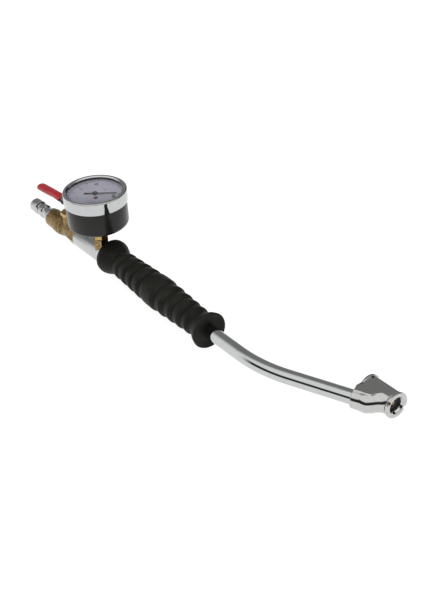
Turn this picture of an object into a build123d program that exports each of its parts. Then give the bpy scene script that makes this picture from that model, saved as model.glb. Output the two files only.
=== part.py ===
from build123d import *
from math import atan2, cos, degrees, pi, radians, sin, tan
import os

# A hand-held tyre inflator: inlet plug, lever ball valve, round gauge, rubber grip and bent tube
# with a two-ended chuck. Everything is in millimetres. The origin is on the air line, at the outer
# end of the inlet plug's collar; +X runs along the air line to the chuck and +Z along the gauge.

# --- driving dimensions -------------------------------------------------------------------------
clear = 0.05            # radial clearance of threads and running fits
port_r = 2.6            # air passage

collar_r = 6.0          # quick-connect plug
collar_length = 8.5
plug_length = 30.0      # collar end to the valve body

valve_x = 57.0          # ball and stem axis
valve_wide_r = 8.0
valve_slim_r = 7.0
valve_end_x = 66.0
ball_r = 4.2
hex_flats = 15.0
hex_end_x = 74.0

stem_r = 2.0
lever_turn = 6.0        # degrees that the lever's arm stands off the air line
lever_base_z = 25.8     # underside of the lever at the stem
lever_top_z = 27.2      # underside of the handle's steel
lever_thick = 1.6
lever_tip = 37.2        # stem axis to the end of the sleeve
sleeve_wide = 8.6
sleeve_thick = 5.2

gauge_x = 108.0         # gauge axis
body_tube_r = 8.0
body_tube_end_x = 121.0

case_r = 24.0
case_wall = 1.0
case_bottom_z = 27.6
bezel_r = 25.0
bezel_low_z = 47.7
bezel_top_z = 57.8
window_r = 21.5
dial_z = 51.8           # underside of the dial plate
dial_thick = 0.8
pointer_z = 53.1        # underside of the pointer

grip_rear_x = 113.0     # start of the grip's axis, which stands off the air line at the rear
grip_rear_side = 2.0
grip_rear_rise = 1.7
grip_front_x = 258.0    # where the grip's axis meets the air line
flange_r = 14.1

tube_r = 5.25           # bent tube
tube_start_x = 112.5
bend_x = 286.5
bend_r = 112.0
bend_turn = 22.0
socket_x = 372.7        # the chuck socket's rim, on the tube's axis

foot_y = 41.0           # the chuck's foot: its axis is parallel to the air line
foot_low_x = 370.0
foot_high_x = 397.0
foot_r = 8.6
socket_r = 7.3
web_half = 7.9         # the flat top and bottom of the chuck head
ring_r = 9.3
mouth_r = 4.9

os.makedirs("parts", exist_ok=True)

# --- shared planes, axes and outlines -----------------------------------------------------------
gauge_axis = Axis((gauge_x, 0, 0), (0, 0, 1))
gauge_side = Plane(origin=(gauge_x, 0, 0), x_dir=(1, 0, 0), z_dir=(0, -1, 0))
stem_axis = Axis((valve_x, 0, 0), (0, 0, 1))
stem_side = Plane(origin=(valve_x, 0, 0), x_dir=(1, 0, 0), z_dir=(0, -1, 0))


def gauge_level(z):
    """The level plane at height z whose origin is on the gauge's axis."""
    return Plane(origin=(gauge_x, 0, z), x_dir=(1, 0, 0), z_dir=(0, 0, 1))


def stem_level(z):
    """The level plane at height z whose origin is on the valve stem's axis."""
    return Plane(origin=(valve_x, 0, z), x_dir=(1, 0, 0), z_dir=(0, 0, 1))


def across(x):
    """The plane square to the air line at station x."""
    return Plane(origin=(x, 0, 0), x_dir=(0, 1, 0), z_dir=(1, 0, 0))


def profile(plane, *points):
    """A face with straight sides through the points, given in the plane's own coordinates."""
    with BuildSketch(plane) as face:
        with BuildLine():
            Polyline(*points, close=True)
        make_face()
    return face.sketch


def ring(plane, inner_r, outer_r, low, high):
    """The section of a plain ring, for turning: inner and outer radius, low and high level."""
    return profile(plane, (inner_r, low), (outer_r, low), (outer_r, high), (inner_r, high))


def strip(plane, width, *points):
    """A bent strip of even width with round joints and ends, along the points."""
    with BuildSketch(plane) as band:
        for (ax, ay), (bx, by) in zip(points, points[1:]):
            run = Vector(bx - ax, by - ay)
            with Locations(((ax + bx) / 2, (ay + by) / 2)):
                SlotCenterToCenter(run.length, width, rotation=degrees(atan2(run.Y, run.X)))
    return band.sketch


def save(name, piece):
    """Labels a finished piece and writes it to its own file."""
    piece.part.label = name
    export_step(piece.part, f"parts/{name}.step")


# --- inlet plug ---------------------------------------------------------------------------------
nose_chamfer = 0.8
plug_bore_r = 3.0
groove_x = 9.2
ridge_x = 13.0
neck_x = 17.6
flange_x = 26.8
plug_flange_r = 7.5
plug_thread_r = 4.8
plug_thread_end = 38.0

with BuildPart() as inlet_plug:
    outline = profile(
        Plane.XZ,
        (-nose_chamfer, plug_bore_r + 0.9),
        (-nose_chamfer, collar_r - nose_chamfer),
        (0, collar_r),
        (collar_length, collar_r),
        (groove_x, 4.5),
        (ridge_x - 0.5, 4.5),
        (ridge_x, 5.9),
        (neck_x - 0.6, 5.9),
        (neck_x, 4.7),
        (flange_x - 1.4, 4.7),
        (flange_x, plug_flange_r - 0.6),
        (flange_x + 0.6, plug_flange_r),
        (plug_length - 0.6, plug_flange_r),
        (plug_length, plug_flange_r - 0.6),
        (plug_length, plug_thread_r),
        (plug_thread_end, plug_thread_r),
        (plug_thread_end, plug_bore_r),
        (0.4, plug_bore_r),
    )
    revolve(outline, axis=Axis.X)
save("inlet_plug", inlet_plug)

# --- ball valve ---------------------------------------------------------------------------------
chamber_r = 5.2
chamber_start = valve_x - 5.6
chamber_end = valve_x + 5.6
tower_r = 5.0
tower_top_z = 14.5
packing_r = 3.6
packing_low_z = 11.0
packing_high_z = 13.2
shoulder_r = 2.9
shoulder_low_z = 5.3
shoulder_high_z = 6.3

with BuildPart() as valve_body:
    outline = profile(
        Plane.XZ,
        (plug_length, 0),
        (plug_length, valve_wide_r - 1.0),
        (plug_length + 1.0, valve_wide_r),
        (41.0, valve_wide_r),
        (43.0, valve_wide_r + 0.5),
        (46.0, valve_wide_r + 0.5),
        (48.0, valve_wide_r),
        (50.5, valve_wide_r),
        (51.5, valve_slim_r),
        (valve_end_x, valve_slim_r),
        (valve_end_x, 0),
    )
    revolve(outline, axis=Axis.X)
    with BuildSketch(stem_level(0)):
        Circle(tower_r)
    extrude(amount=tower_top_z)
    with BuildSketch(across(plug_length)):
        Circle(plug_thread_r + clear)
    extrude(amount=plug_thread_end + 0.5 - plug_length, mode=Mode.SUBTRACT)
    with BuildSketch(across(plug_length)):
        Circle(port_r)
    extrude(amount=chamber_start - plug_length, mode=Mode.SUBTRACT)
    with BuildSketch(across(chamber_start)):
        Circle(chamber_r)
    extrude(amount=valve_end_x - chamber_start, mode=Mode.SUBTRACT)
    with BuildSketch(stem_level(0)):
        Circle(shoulder_r + clear)
    extrude(amount=shoulder_high_z + clear, mode=Mode.SUBTRACT)
    with BuildSketch(stem_level(0)):
        Circle(stem_r + clear)
    extrude(amount=tower_top_z, mode=Mode.SUBTRACT)
    with BuildSketch(stem_level(packing_low_z)):
        Circle(packing_r)
    extrude(amount=tower_top_z - packing_low_z, mode=Mode.SUBTRACT)
save("valve_body", valve_body)

cap_socket_x = 67.5
cap_socket_r = 6.0

with BuildPart() as valve_end_cap:
    with BuildSketch(across(valve_end_x)):
        RegularPolygon(hex_flats / 2, 6, major_radius=False)
    extrude(amount=hex_end_x - valve_end_x)
    hex_bevel = profile(
        Plane.XZ,
        (valve_end_x, 0),
        (valve_end_x, hex_flats / 2),
        (valve_end_x + 1.2, hex_flats / 2 + 1.3),
        (hex_end_x - 1.2, hex_flats / 2 + 1.3),
        (hex_end_x, hex_flats / 2),
        (hex_end_x, 0),
    )
    revolve(hex_bevel, axis=Axis.X, mode=Mode.INTERSECT)
    with BuildSketch(across(chamber_end)):
        Circle(chamber_r - clear)
    extrude(amount=valve_end_x - chamber_end)
    with BuildSketch(across(chamber_end)):
        Circle(port_r)
    extrude(amount=hex_end_x - chamber_end, mode=Mode.SUBTRACT)
    with BuildSketch(across(cap_socket_x)):
        Circle(cap_socket_r + clear)
    extrude(amount=hex_end_x - cap_socket_x, mode=Mode.SUBTRACT)
save("valve_end_cap", valve_end_cap)

slot_wide = 1.6
slot_floor_z = 3.2

with BuildPart() as valve_ball:
    with Locations((valve_x, 0, 0)):
        Sphere(ball_r)
    with BuildSketch(across(valve_x)):
        Circle(port_r)
    extrude(amount=ball_r, both=True, mode=Mode.SUBTRACT)
    with BuildSketch(stem_level(slot_floor_z)):
        Rectangle(2 * ball_r, slot_wide)
    extrude(amount=ball_r, mode=Mode.SUBTRACT)
save("valve_ball", valve_ball)

seat_reach = 3.2

for seat_name, seat_low in (
    ("inlet_seat", chamber_start),
    ("outlet_seat", chamber_end - seat_reach),
):
    with BuildPart() as seat:
        with BuildSketch(Plane.XZ):
            with Locations((seat_low + seat_reach / 2, (port_r + chamber_r - clear) / 2)):
                Rectangle(seat_reach, chamber_r - clear - port_r)
            with Locations((valve_x, 0)):
                Circle(ball_r + clear, mode=Mode.SUBTRACT)
        revolve(axis=Axis.X)
    save(seat_name, seat)

tang_long = 4.4
stem_top_z = 31.8
flat_half = 1.5

with BuildPart() as valve_stem:
    with BuildSketch(stem_level(slot_floor_z + clear)):
        Rectangle(tang_long, slot_wide - 2 * clear)
    extrude(amount=shoulder_low_z - slot_floor_z - clear)
    with BuildSketch(stem_level(shoulder_low_z)):
        Circle(shoulder_r)
    extrude(amount=shoulder_high_z - shoulder_low_z)
    with BuildSketch(stem_level(shoulder_high_z)):
        Circle(stem_r)
    extrude(amount=lever_base_z - shoulder_high_z)
    with BuildSketch(stem_level(lever_base_z)):
        Circle(stem_r)
        Rectangle(2 * stem_r, 2 * flat_half, mode=Mode.INTERSECT)
    extrude(amount=stem_top_z - lever_base_z)
save("valve_stem", valve_stem)

with BuildPart() as stem_packing:
    packing = ring(stem_side, stem_r + clear, packing_r, packing_low_z, packing_high_z)
    revolve(packing, axis=stem_axis)
save("stem_packing", stem_packing)

gland_flats = 10.5
gland_top_z = 17.0

with BuildPart() as gland_nut:
    with BuildSketch(stem_level(packing_high_z)):
        Circle(packing_r)
    extrude(amount=tower_top_z - packing_high_z)
    with BuildSketch(stem_level(tower_top_z)):
        RegularPolygon(gland_flats / 2, 6, major_radius=False)
    extrude(amount=gland_top_z - tower_top_z)
    with BuildSketch(stem_level(packing_high_z)):
        Circle(stem_r + clear)
    extrude(amount=gland_top_z - packing_high_z, mode=Mode.SUBTRACT)
save("gland_nut", gland_nut)

# --- lever --------------------------------------------------------------------------------------
lever_way = (-cos(radians(lever_turn)), -sin(radians(lever_turn)), 0)
lever_side_way = (-sin(radians(lever_turn)), cos(radians(lever_turn)), 0)
lever_side = Plane(origin=(valve_x, 0, 0), x_dir=lever_way, z_dir=lever_side_way)
lever_plan = Plane(origin=(valve_x, 0, 0), x_dir=lever_way, z_dir=(0, 0, 1))
eye_r = 4.6
arm_wide = 6.4
knee_low = 5.2          # where the arm leaves the level of the nut
knee_high = 11.6        # where it reaches the level of the handle
arm_end = 35.0
sleeve_start = 7.4
lever_mid_z = lever_top_z + lever_thick / 2

with BuildPart() as lever:
    base_mid_z = lever_base_z + lever_thick / 2
    arm = strip(
        lever_side,
        lever_thick,
        (-eye_r, base_mid_z),
        (knee_low, base_mid_z),
        (knee_high, lever_mid_z),
        (arm_end, lever_mid_z),
    )
    extrude(arm, amount=eye_r, both=True)
    with BuildSketch(lever_plan):
        Circle(eye_r)
        with Locations(((arm_end - arm_wide / 2) / 2, 0)):
            Rectangle(arm_end - arm_wide / 2, arm_wide)
        with Locations((arm_end - arm_wide / 2, 0)):
            Circle(arm_wide / 2)
    extrude(amount=lever_top_z + 2 * lever_thick, mode=Mode.INTERSECT)
    with BuildSketch(stem_level(lever_base_z - 1)):
        Circle(stem_r + clear)
        Rectangle(3 * stem_r, 2 * (flat_half + clear), mode=Mode.INTERSECT)
    extrude(amount=lever_thick + 2, mode=Mode.SUBTRACT)
save("lever", lever)

sleeve_start_z = 27.1

with BuildPart() as lever_sleeve:
    coat = strip(
        lever_side,
        sleeve_thick,
        (sleeve_start, sleeve_start_z),
        (knee_high, lever_mid_z),
        (lever_tip - sleeve_thick / 2, lever_mid_z),
    )
    extrude(coat, amount=sleeve_wide / 2, both=True)
    with BuildSketch(lever_plan):
        with Locations(((lever_tip - sleeve_wide / 2) / 2, 0)):
            Rectangle(lever_tip - sleeve_wide / 2, sleeve_wide)
        with Locations((lever_tip - sleeve_wide / 2, 0)):
            Circle(sleeve_wide / 2)
    extrude(amount=lever_top_z + 2 * sleeve_thick, mode=Mode.INTERSECT)
    add(lever.part, mode=Mode.SUBTRACT)
save("lever_sleeve", lever_sleeve)

washer_r = 4.0
washer_top_z = 28.0
nut_flats = 7.0
nut_top_z = 30.8
nut_bore_r = stem_r + clear

with BuildPart() as lever_washer:
    washer = ring(stem_side, nut_bore_r, washer_r, lever_base_z + lever_thick, washer_top_z)
    revolve(washer, axis=stem_axis)
save("lever_washer", lever_washer)

with BuildPart() as lever_nut:
    with BuildSketch(stem_level(washer_top_z)):
        RegularPolygon(nut_flats / 2, 6, major_radius=False)
        Circle(nut_bore_r, mode=Mode.SUBTRACT)
    extrude(amount=nut_top_z - washer_top_z)
    chamfer(edges().filter_by(Axis.Z, reverse=True).group_by(Axis.Z)[-1].filter_by(GeomType.LINE), 0.4)
save("lever_nut", lever_nut)

# --- body tube and gauge boss -------------------------------------------------------------------
spigot_x = 68.0
boss_flats = 11.0
boss_foot_r = 4.0
boss_low_z = 3.4
boss_top_z = 15.0
boss_thread_r = 4.2
boss_thread_low_z = 9.0

with BuildPart() as body_tube:
    outline = profile(
        Plane.XZ,
        (spigot_x, port_r),
        (spigot_x, cap_socket_r),
        (hex_end_x, cap_socket_r),
        (hex_end_x, body_tube_r - 0.5),
        (hex_end_x + 0.5, body_tube_r),
        (body_tube_end_x - 0.5, body_tube_r),
        (body_tube_end_x, body_tube_r - 0.5),
        (body_tube_end_x, tube_r),
        (tube_start_x, tube_r),
        (tube_start_x, port_r),
    )
    revolve(outline, axis=Axis.X)
    with BuildSketch(gauge_level(0)):
        Circle(boss_foot_r)
    extrude(amount=body_tube_r, mode=Mode.SUBTRACT)
save("body_tube", body_tube)

with BuildPart() as gauge_boss:
    with BuildSketch(gauge_level(boss_low_z)):
        RegularPolygon(boss_flats / 2, 6, major_radius=False, rotation=30)
    extrude(amount=boss_top_z - boss_low_z)
    with BuildSketch(across(gauge_x - boss_flats)):
        Circle(body_tube_r)
    extrude(amount=2 * boss_flats, mode=Mode.SUBTRACT)
    with BuildSketch(gauge_level(port_r + 1.2)):
        Circle(boss_foot_r)
    extrude(amount=boss_thread_low_z - port_r - 1.2)
    with BuildSketch(gauge_level(0)):
        Circle(port_r - 0.6)
    extrude(amount=boss_top_z, mode=Mode.SUBTRACT)
    with BuildSketch(gauge_level(boss_thread_low_z)):
        Circle(boss_thread_r + clear)
    extrude(amount=boss_top_z - boss_thread_low_z, mode=Mode.SUBTRACT)
save("gauge_boss", gauge_boss)

# --- gauge movement: where things stand, in the gauge's own level coordinates -------------------
module_size = 0.3
pinion_teeth = 12
sector_full_teeth = 60
pinion_pitch_r = module_size * pinion_teeth / 2
sector_pitch_r = module_size * sector_full_teeth / 2
sector_at = (0, -(pinion_pitch_r + sector_pitch_r))
tooth_step = 360 / sector_full_teeth
sector_travel = 54.0
tail_r = 3.5
tail_angle = -90 - sector_travel / 2
tail_pin = (tail_r * cos(radians(tail_angle)), sector_at[1] + tail_r * sin(radians(tail_angle)))
link_length = 11.1
tip_pin = (tail_pin[0] + link_length, tail_pin[1])
coil_r = 18.5           # middle of the C-shaped pressure tube
coil_half = 0.9
coil_low_z = 32.0
coil_high_z = 39.0
coil_tip_angle = -48.0
coil_root_angle = 208.0
pillar_spots = ((5.0, sector_at[1] + 0.4), (-5.0, sector_at[1] + 0.4), (0, 5.6))
back_plate_z = 34.5
plate_thick = 1.0
front_plate_z = 41.0
gear_low_z = 37.0
gear_high_z = 38.0
arbor_r = 0.5
arbor_low_z = 34.7
screw_spots = ((3.4, -3.2), (-3.4, -3.2))
case_screw_spots = ((7.8, 0), (-7.8, 0))
post_spots = ((12.0, 8.5), (-12.0, 8.5))
floor_z = case_bottom_z + case_wall
socket_flange_z = 31.0
root_spot = (
    coil_r * cos(radians(coil_root_angle)),
    coil_r * sin(radians(coil_root_angle)),
)

with BuildPart() as gauge_socket:
    socket_port_r = 1.6
    neck_r = 5.0
    hex_top_z = 21.5
    socket_turn = 6.0
    with BuildSketch(gauge_level(boss_thread_low_z + 0.2)):
        Circle(boss_thread_r)
    extrude(amount=boss_top_z - boss_thread_low_z - 0.2)
    with BuildSketch(gauge_level(boss_top_z)):
        RegularPolygon(boss_flats / 2 - 0.4, 6, major_radius=False, rotation=30 + socket_turn)
    extrude(amount=hex_top_z - boss_top_z)
    with BuildSketch(gauge_level(hex_top_z)):
        Circle(neck_r)
    extrude(amount=floor_z - hex_top_z)
    with BuildSketch(gauge_level(floor_z)):
        Circle(9.5)
        with Locations(*case_screw_spots):
            Circle(0.95 + clear, mode=Mode.SUBTRACT)
    extrude(amount=socket_flange_z - floor_z)
    with BuildSketch(gauge_level(socket_flange_z)):
        with Locations((0, -3.2)):
            RectangleRounded(10.5, 4.4, 1.0)
    extrude(amount=back_plate_z - socket_flange_z)
    root_arm = strip(
        gauge_level(socket_flange_z - 0.5),
        4.0,
        screw_spots[1],
        (root_spot[0] * 0.93, root_spot[1] * 0.93),
    )
    extrude(root_arm, amount=coil_low_z - socket_flange_z + 0.5)
    with BuildSketch(gauge_level(coil_low_z)):
        with Locations(root_spot):
            RectangleRounded(4.6, 4.2, 0.6, rotation=coil_root_angle)
    extrude(amount=-1.0)
    with BuildSketch(gauge_level(socket_flange_z)):
        with Locations(*screw_spots):
            Circle(0.8 + clear)
    extrude(amount=back_plate_z - socket_flange_z, mode=Mode.SUBTRACT)
    with BuildSketch(gauge_level(0)):
        Circle(socket_port_r)
    extrude(amount=socket_flange_z - 1.2, mode=Mode.SUBTRACT)
save("gauge_socket", gauge_socket)

# --- gauge case, bezel and lens -----------------------------------------------------------------
case_corner_r = 3.5
case_top_z = 53.6
gasket_top_z = 54.4
lens_top_z = 56.4

with BuildPart() as gauge_case:
    with BuildSketch(gauge_level(case_bottom_z)):
        Circle(case_r)
    extrude(amount=case_top_z - case_bottom_z)
    fillet(faces().sort_by(Axis.Z)[0].edges(), case_corner_r)
    with BuildSketch(gauge_level(floor_z)):
        Circle(case_r - case_wall)
    cavity = extrude(amount=case_top_z - floor_z, mode=Mode.PRIVATE)
    floor_edges = cavity.faces().sort_by(Axis.Z)[0].edges()
    add(cavity.fillet(case_corner_r - case_wall, floor_edges), mode=Mode.SUBTRACT)
    with BuildSketch(gauge_level(case_bottom_z)):
        Circle(neck_r + clear)
        with Locations(*case_screw_spots, *post_spots):
            Circle(1.0)
    extrude(amount=case_wall, mode=Mode.SUBTRACT)
save("gauge_case", gauge_case)

with BuildPart() as gauge_bezel:
    with BuildSketch(gauge_side):
        with BuildLine():
            Polyline(
                (case_r + clear, bezel_low_z),
                (bezel_r - 0.2, bezel_low_z),
                (bezel_r, bezel_low_z + 0.3),
                (bezel_r, bezel_top_z - 1.2),
            )
            RadiusArc((bezel_r, bezel_top_z - 1.2), (bezel_r - 1.2, bezel_top_z), -1.2)
            Polyline(
                (bezel_r - 1.2, bezel_top_z),
                (window_r + 0.8, bezel_top_z),
                (window_r, bezel_top_z - 0.7),
                (window_r, lens_top_z),
                (case_r + clear, lens_top_z),
                (case_r + clear, bezel_low_z),
            )
        make_face()
    revolve(axis=gauge_axis)
save("gauge_bezel", gauge_bezel)

with BuildPart() as lens_gasket:
    gasket = ring(gauge_side, window_r + 0.3, case_r - clear, case_top_z, gasket_top_z)
    revolve(gasket, axis=gauge_axis)
save("lens_gasket", lens_gasket)

with BuildPart() as gauge_lens:
    with BuildSketch(gauge_level(gasket_top_z)):
        Circle(case_r - 2 * clear)
    extrude(amount=lens_top_z - gasket_top_z)
save("gauge_lens", gauge_lens)

with BuildPart() as case_screws:
    with BuildSketch(gauge_level(case_bottom_z)):
        with Locations(*case_screw_spots):
            Circle(1.7)
    extrude(amount=-0.9)
    with BuildSketch(gauge_level(case_bottom_z)):
        with Locations(*case_screw_spots):
            Circle(0.95)
    extrude(amount=socket_flange_z - case_bottom_z)
    with BuildSketch(gauge_level(case_bottom_z - 0.9)):
        with Locations(*case_screw_spots):
            Rectangle(0.5, 3.4)
    extrude(amount=0.45, mode=Mode.SUBTRACT)
save("case_screws", case_screws)

# --- dial ---------------------------------------------------------------------------------------
dial_r = 22.6
post_r = 1.5
dial_screw_r = 0.8
dial_head_high = 0.35   # low enough for the pointer to pass over

with BuildPart() as dial_posts:
    with BuildSketch(gauge_level(floor_z)):
        with Locations(*post_spots):
            Circle(post_r)
    extrude(amount=dial_z - floor_z)
    with BuildSketch(gauge_level(case_bottom_z + 0.1)):
        with Locations(*post_spots):
            Circle(1.0 - clear)
    extrude(amount=floor_z - case_bottom_z)
    with BuildSketch(gauge_level(dial_z)):
        with Locations(*post_spots):
            Circle(dial_screw_r + clear)
    extrude(amount=-5.0, mode=Mode.SUBTRACT)
save("dial_posts", dial_posts)

with BuildPart() as dial_plate:
    with BuildSketch(gauge_level(dial_z)):
        Circle(dial_r)
        Circle(1.6, mode=Mode.SUBTRACT)
        with Locations(*post_spots):
            Circle(dial_screw_r + clear, mode=Mode.SUBTRACT)
    extrude(amount=dial_thick)
save("dial_plate", dial_plate)

with BuildPart() as dial_screws:
    with BuildSketch(gauge_level(dial_z - 4.0)):
        with Locations(*post_spots):
            Circle(dial_screw_r)
    extrude(amount=4.0 + dial_thick)
    with BuildSketch(gauge_level(dial_z + dial_thick)):
        with Locations(*post_spots):
            Circle(1.5)
    extrude(amount=dial_head_high)
    with BuildSketch(gauge_level(dial_z + dial_thick + dial_head_high)):
        with Locations(*post_spots):
            Rectangle(0.4, 3.0)
    extrude(amount=-0.2, mode=Mode.SUBTRACT)
save("dial_screws", dial_screws)

# --- gauge movement -----------------------------------------------------------------------------
plate_corners = ((-6.6, -12.4), (6.6, -12.4), (6.6, -9.2), (2.0, 7.2), (-2.0, 7.2), (-6.6, -9.2))


def movement_plate(z, *holes):
    """A movement plate standing on level z, with (spots, radius) holes."""
    with BuildPart() as plate:
        with BuildSketch(gauge_level(z)):
            with BuildLine():
                Polyline(*plate_corners, close=True)
            make_face()
            fillet(vertices(), 1.2)
            for spots, radius in holes:
                with Locations(*spots):
                    Circle(radius, mode=Mode.SUBTRACT)
        extrude(amount=plate_thick)
    return plate


arbor_spots = ((0, 0), sector_at)
rivet_r = 0.6

back_plate = movement_plate(
    back_plate_z,
    (arbor_spots, arbor_r + clear),
    (pillar_spots, rivet_r),
    (screw_spots, 0.8 + clear),
)
save("back_plate", back_plate)

front_plate = movement_plate(
    front_plate_z,
    (arbor_spots, arbor_r + clear),
    (pillar_spots, rivet_r + clear),
)
save("front_plate", front_plate)

with BuildPart() as plate_pillars:
    with BuildSketch(gauge_level(back_plate_z + plate_thick)):
        with Locations(*pillar_spots):
            Circle(0.9)
    extrude(amount=front_plate_z - back_plate_z - plate_thick)
    with BuildSketch(gauge_level(back_plate_z + 0.1)):
        with Locations(*pillar_spots):
            Circle(rivet_r)
    extrude(amount=plate_thick - 0.1)
    with BuildSketch(gauge_level(front_plate_z)):
        with Locations(*pillar_spots):
            Circle(rivet_r)
    extrude(amount=-2.0, mode=Mode.SUBTRACT)
save("plate_pillars", plate_pillars)

with BuildPart() as plate_screws:
    with BuildSketch(gauge_level(front_plate_z - 1.8)):
        with Locations(*pillar_spots):
            Circle(rivet_r - clear)
    extrude(amount=1.8 + plate_thick)
    with BuildSketch(gauge_level(front_plate_z + plate_thick)):
        with Locations(*pillar_spots):
            Circle(1.1)
    extrude(amount=0.7)
save("plate_screws", plate_screws)

with BuildPart() as movement_screws:
    with BuildSketch(gauge_level(socket_flange_z + 0.3)):
        with Locations(*screw_spots):
            Circle(0.8)
    extrude(amount=back_plate_z + plate_thick - socket_flange_z - 0.3)
    with BuildSketch(gauge_level(back_plate_z + plate_thick)):
        with Locations(*screw_spots):
            Circle(1.4)
    extrude(amount=0.8)
save("movement_screws", movement_screws)

# The teeth are trapezoids on the pitch circle: their tops and roots are arcs cut by the blanks, and
# their flanks are straight, thinned on the pitch circle for backlash.
tooth_rise = 0.8 * module_size
tooth_fall = 1.15 * module_size
backlash = 0.14


def tooth(pitch_r, angle, inward, outward):
    """One tooth as a four-cornered face pointing along the angle, from the root to the tip."""
    half_pitch = pi * module_size / 4 - backlash / 2
    taper = tan(radians(20))
    root_r = pitch_r - inward
    tip_r = pitch_r + outward
    root_half = half_pitch + inward * taper
    tip_half = half_pitch - outward * taper
    way = Vector(1, 0).rotate(Axis.Z, angle)
    side = Vector(0, 1).rotate(Axis.Z, angle)
    corners = (
        way * (root_r - 0.2) - side * root_half,
        way * tip_r - side * tip_half,
        way * tip_r + side * tip_half,
        way * (root_r - 0.2) + side * root_half,
    )
    return [(corner.X, corner.Y) for corner in corners]


sector_first = 90 + tooth_step * 1.5
sector_teeth = 12

with BuildPart() as sector_gear:
    sector_plane = Plane(
        origin=(gauge_x + sector_at[0], sector_at[1], gear_low_z), x_dir=(1, 0, 0), z_dir=(0, 0, 1)
    )
    rim_r = sector_pitch_r - tooth_fall
    rim_angle = tooth_step * (sector_teeth + 0.2)
    rim_mid = sector_first - tooth_step * (sector_teeth - 1) / 2
    with BuildSketch(sector_plane):
        with BuildLine():
            rim = CenterArc((0, 0), rim_r, rim_mid - rim_angle / 2, rim_angle)
            Line((0, 0), rim @ 0)
            Line((0, 0), rim @ 1)
        make_face()
        for index in range(sector_teeth):
            angle = sector_first - tooth_step * index
            with BuildLine():
                Polyline(*tooth(sector_pitch_r, angle, tooth_fall, tooth_rise), close=True)
            make_face()
        with BuildLine(mode=Mode.PRIVATE) as window:
            inner = CenterArc((0, 0), 3.2, rim_mid - rim_angle / 2 + 16, rim_angle - 32)
            outer = CenterArc((0, 0), rim_r - 1.3, rim_mid - rim_angle / 2 + 9, rim_angle - 18)
            Line(inner @ 0, outer @ 0)
            Line(inner @ 1, outer @ 1)
        make_face(window.edges(), mode=Mode.SUBTRACT)
        Circle(1.6)
        tail_x = tail_pin[0]
        tail_y = tail_pin[1] - sector_at[1]
        with Locations((tail_x / 2, tail_y / 2)):
            SlotCenterToCenter(tail_r, 1.8, rotation=tail_angle)
    extrude(amount=gear_high_z - gear_low_z)
    with BuildSketch(sector_plane.offset(arbor_low_z - gear_low_z)):
        Circle(arbor_r)
    extrude(amount=front_plate_z + plate_thick - 0.2 - arbor_low_z)
    with BuildSketch(sector_plane.offset(gear_high_z - gear_low_z)):
        with Locations((tail_x, tail_y)):
            Circle(0.45)
    extrude(amount=1.4)
save("sector_gear", sector_gear)

with BuildPart() as pinion_shaft:
    with BuildSketch(gauge_level(gear_low_z - 0.4)):
        Circle(pinion_pitch_r - tooth_fall)
        for index in range(pinion_teeth):
            angle = -90 + 360 / pinion_teeth * index
            with BuildLine():
                Polyline(*tooth(pinion_pitch_r, angle, tooth_fall, tooth_rise), close=True)
            make_face()
    extrude(amount=gear_high_z - gear_low_z + 0.8)
    with BuildSketch(gauge_level(arbor_low_z)):
        Circle(arbor_r)
    extrude(amount=pointer_z + 0.9 - arbor_low_z)
save("pinion_shaft", pinion_shaft)

link_low_z = gear_high_z + 0.1
link_high_z = link_low_z + 0.7

with BuildPart() as tip_link:
    with BuildSketch(gauge_level(link_low_z)):
        with Locations(((tail_pin[0] + tip_pin[0]) / 2, tail_pin[1])):
            SlotCenterToCenter(link_length, 1.6)
        with Locations(tail_pin, tip_pin):
            Circle(0.5, mode=Mode.SUBTRACT)
    extrude(amount=link_high_z - link_low_z)
save("tip_link", tip_link)

coil_span = coil_root_angle - coil_tip_angle

with BuildPart() as bourdon_tube:
    with BuildSketch(gauge_level(coil_low_z)):
        with BuildLine(mode=Mode.PRIVATE) as band:
            inside = CenterArc((0, 0), coil_r - coil_half, coil_tip_angle, coil_span)
            outside = CenterArc((0, 0), coil_r + coil_half, coil_tip_angle, coil_span)
            Line(inside @ 0, outside @ 0)
            Line(inside @ 1, outside @ 1)
        make_face(band.edges())
    extrude(amount=coil_high_z - coil_low_z)
    fillet(edges().filter_by(GeomType.CIRCLE), coil_half * 0.6)
save("bourdon_tube", bourdon_tube)


def coil_point(radius, angle):
    """A point of the gauge's level at a radius and an angle in degrees."""
    return (radius * cos(radians(angle)), radius * sin(radians(angle)))


with BuildPart() as bourdon_tip:
    with BuildSketch(gauge_level(33.5)):
        with BuildLine(mode=Mode.PRIVATE) as cap:
            Polyline(
                coil_point(coil_r - 1.6, coil_tip_angle),
                coil_point(coil_r + 1.6, coil_tip_angle),
                coil_point(coil_r + 1.4, coil_tip_angle - 6),
                (tip_pin[0] - 1.0, tip_pin[1] - 1.2),
                (tip_pin[0] - 1.2, tip_pin[1] + 1.0),
                close=True,
            )
        make_face(cap.edges())
    extrude(amount=4.0)
    with BuildSketch(gauge_level(37.5)):
        with Locations(tip_pin):
            Circle(0.4)
    extrude(amount=1.8)
save("bourdon_tip", bourdon_tip)

# The hairspring is a flat spiral of half circles, each wider than the last.
spring_start_r = 0.9
spring_grow = 0.35
spring_turns = 3

with BuildPart() as hairspring:
    with BuildSketch(gauge_level(39.4)):
        with BuildLine() as spiral:
            for half in range(2 * spring_turns):
                centre_x = spring_grow / 2 if half % 2 else 0
                radius = spring_start_r + spring_grow / 2 * half
                CenterArc((centre_x, 0), radius, 180 * (half % 2), 180)
        trace(line_width=0.14)
    extrude(amount=0.5)
save("hairspring", hairspring)

needle_angle = 50.3
needle_long = 16.5
needle_tail = 8.5

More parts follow.
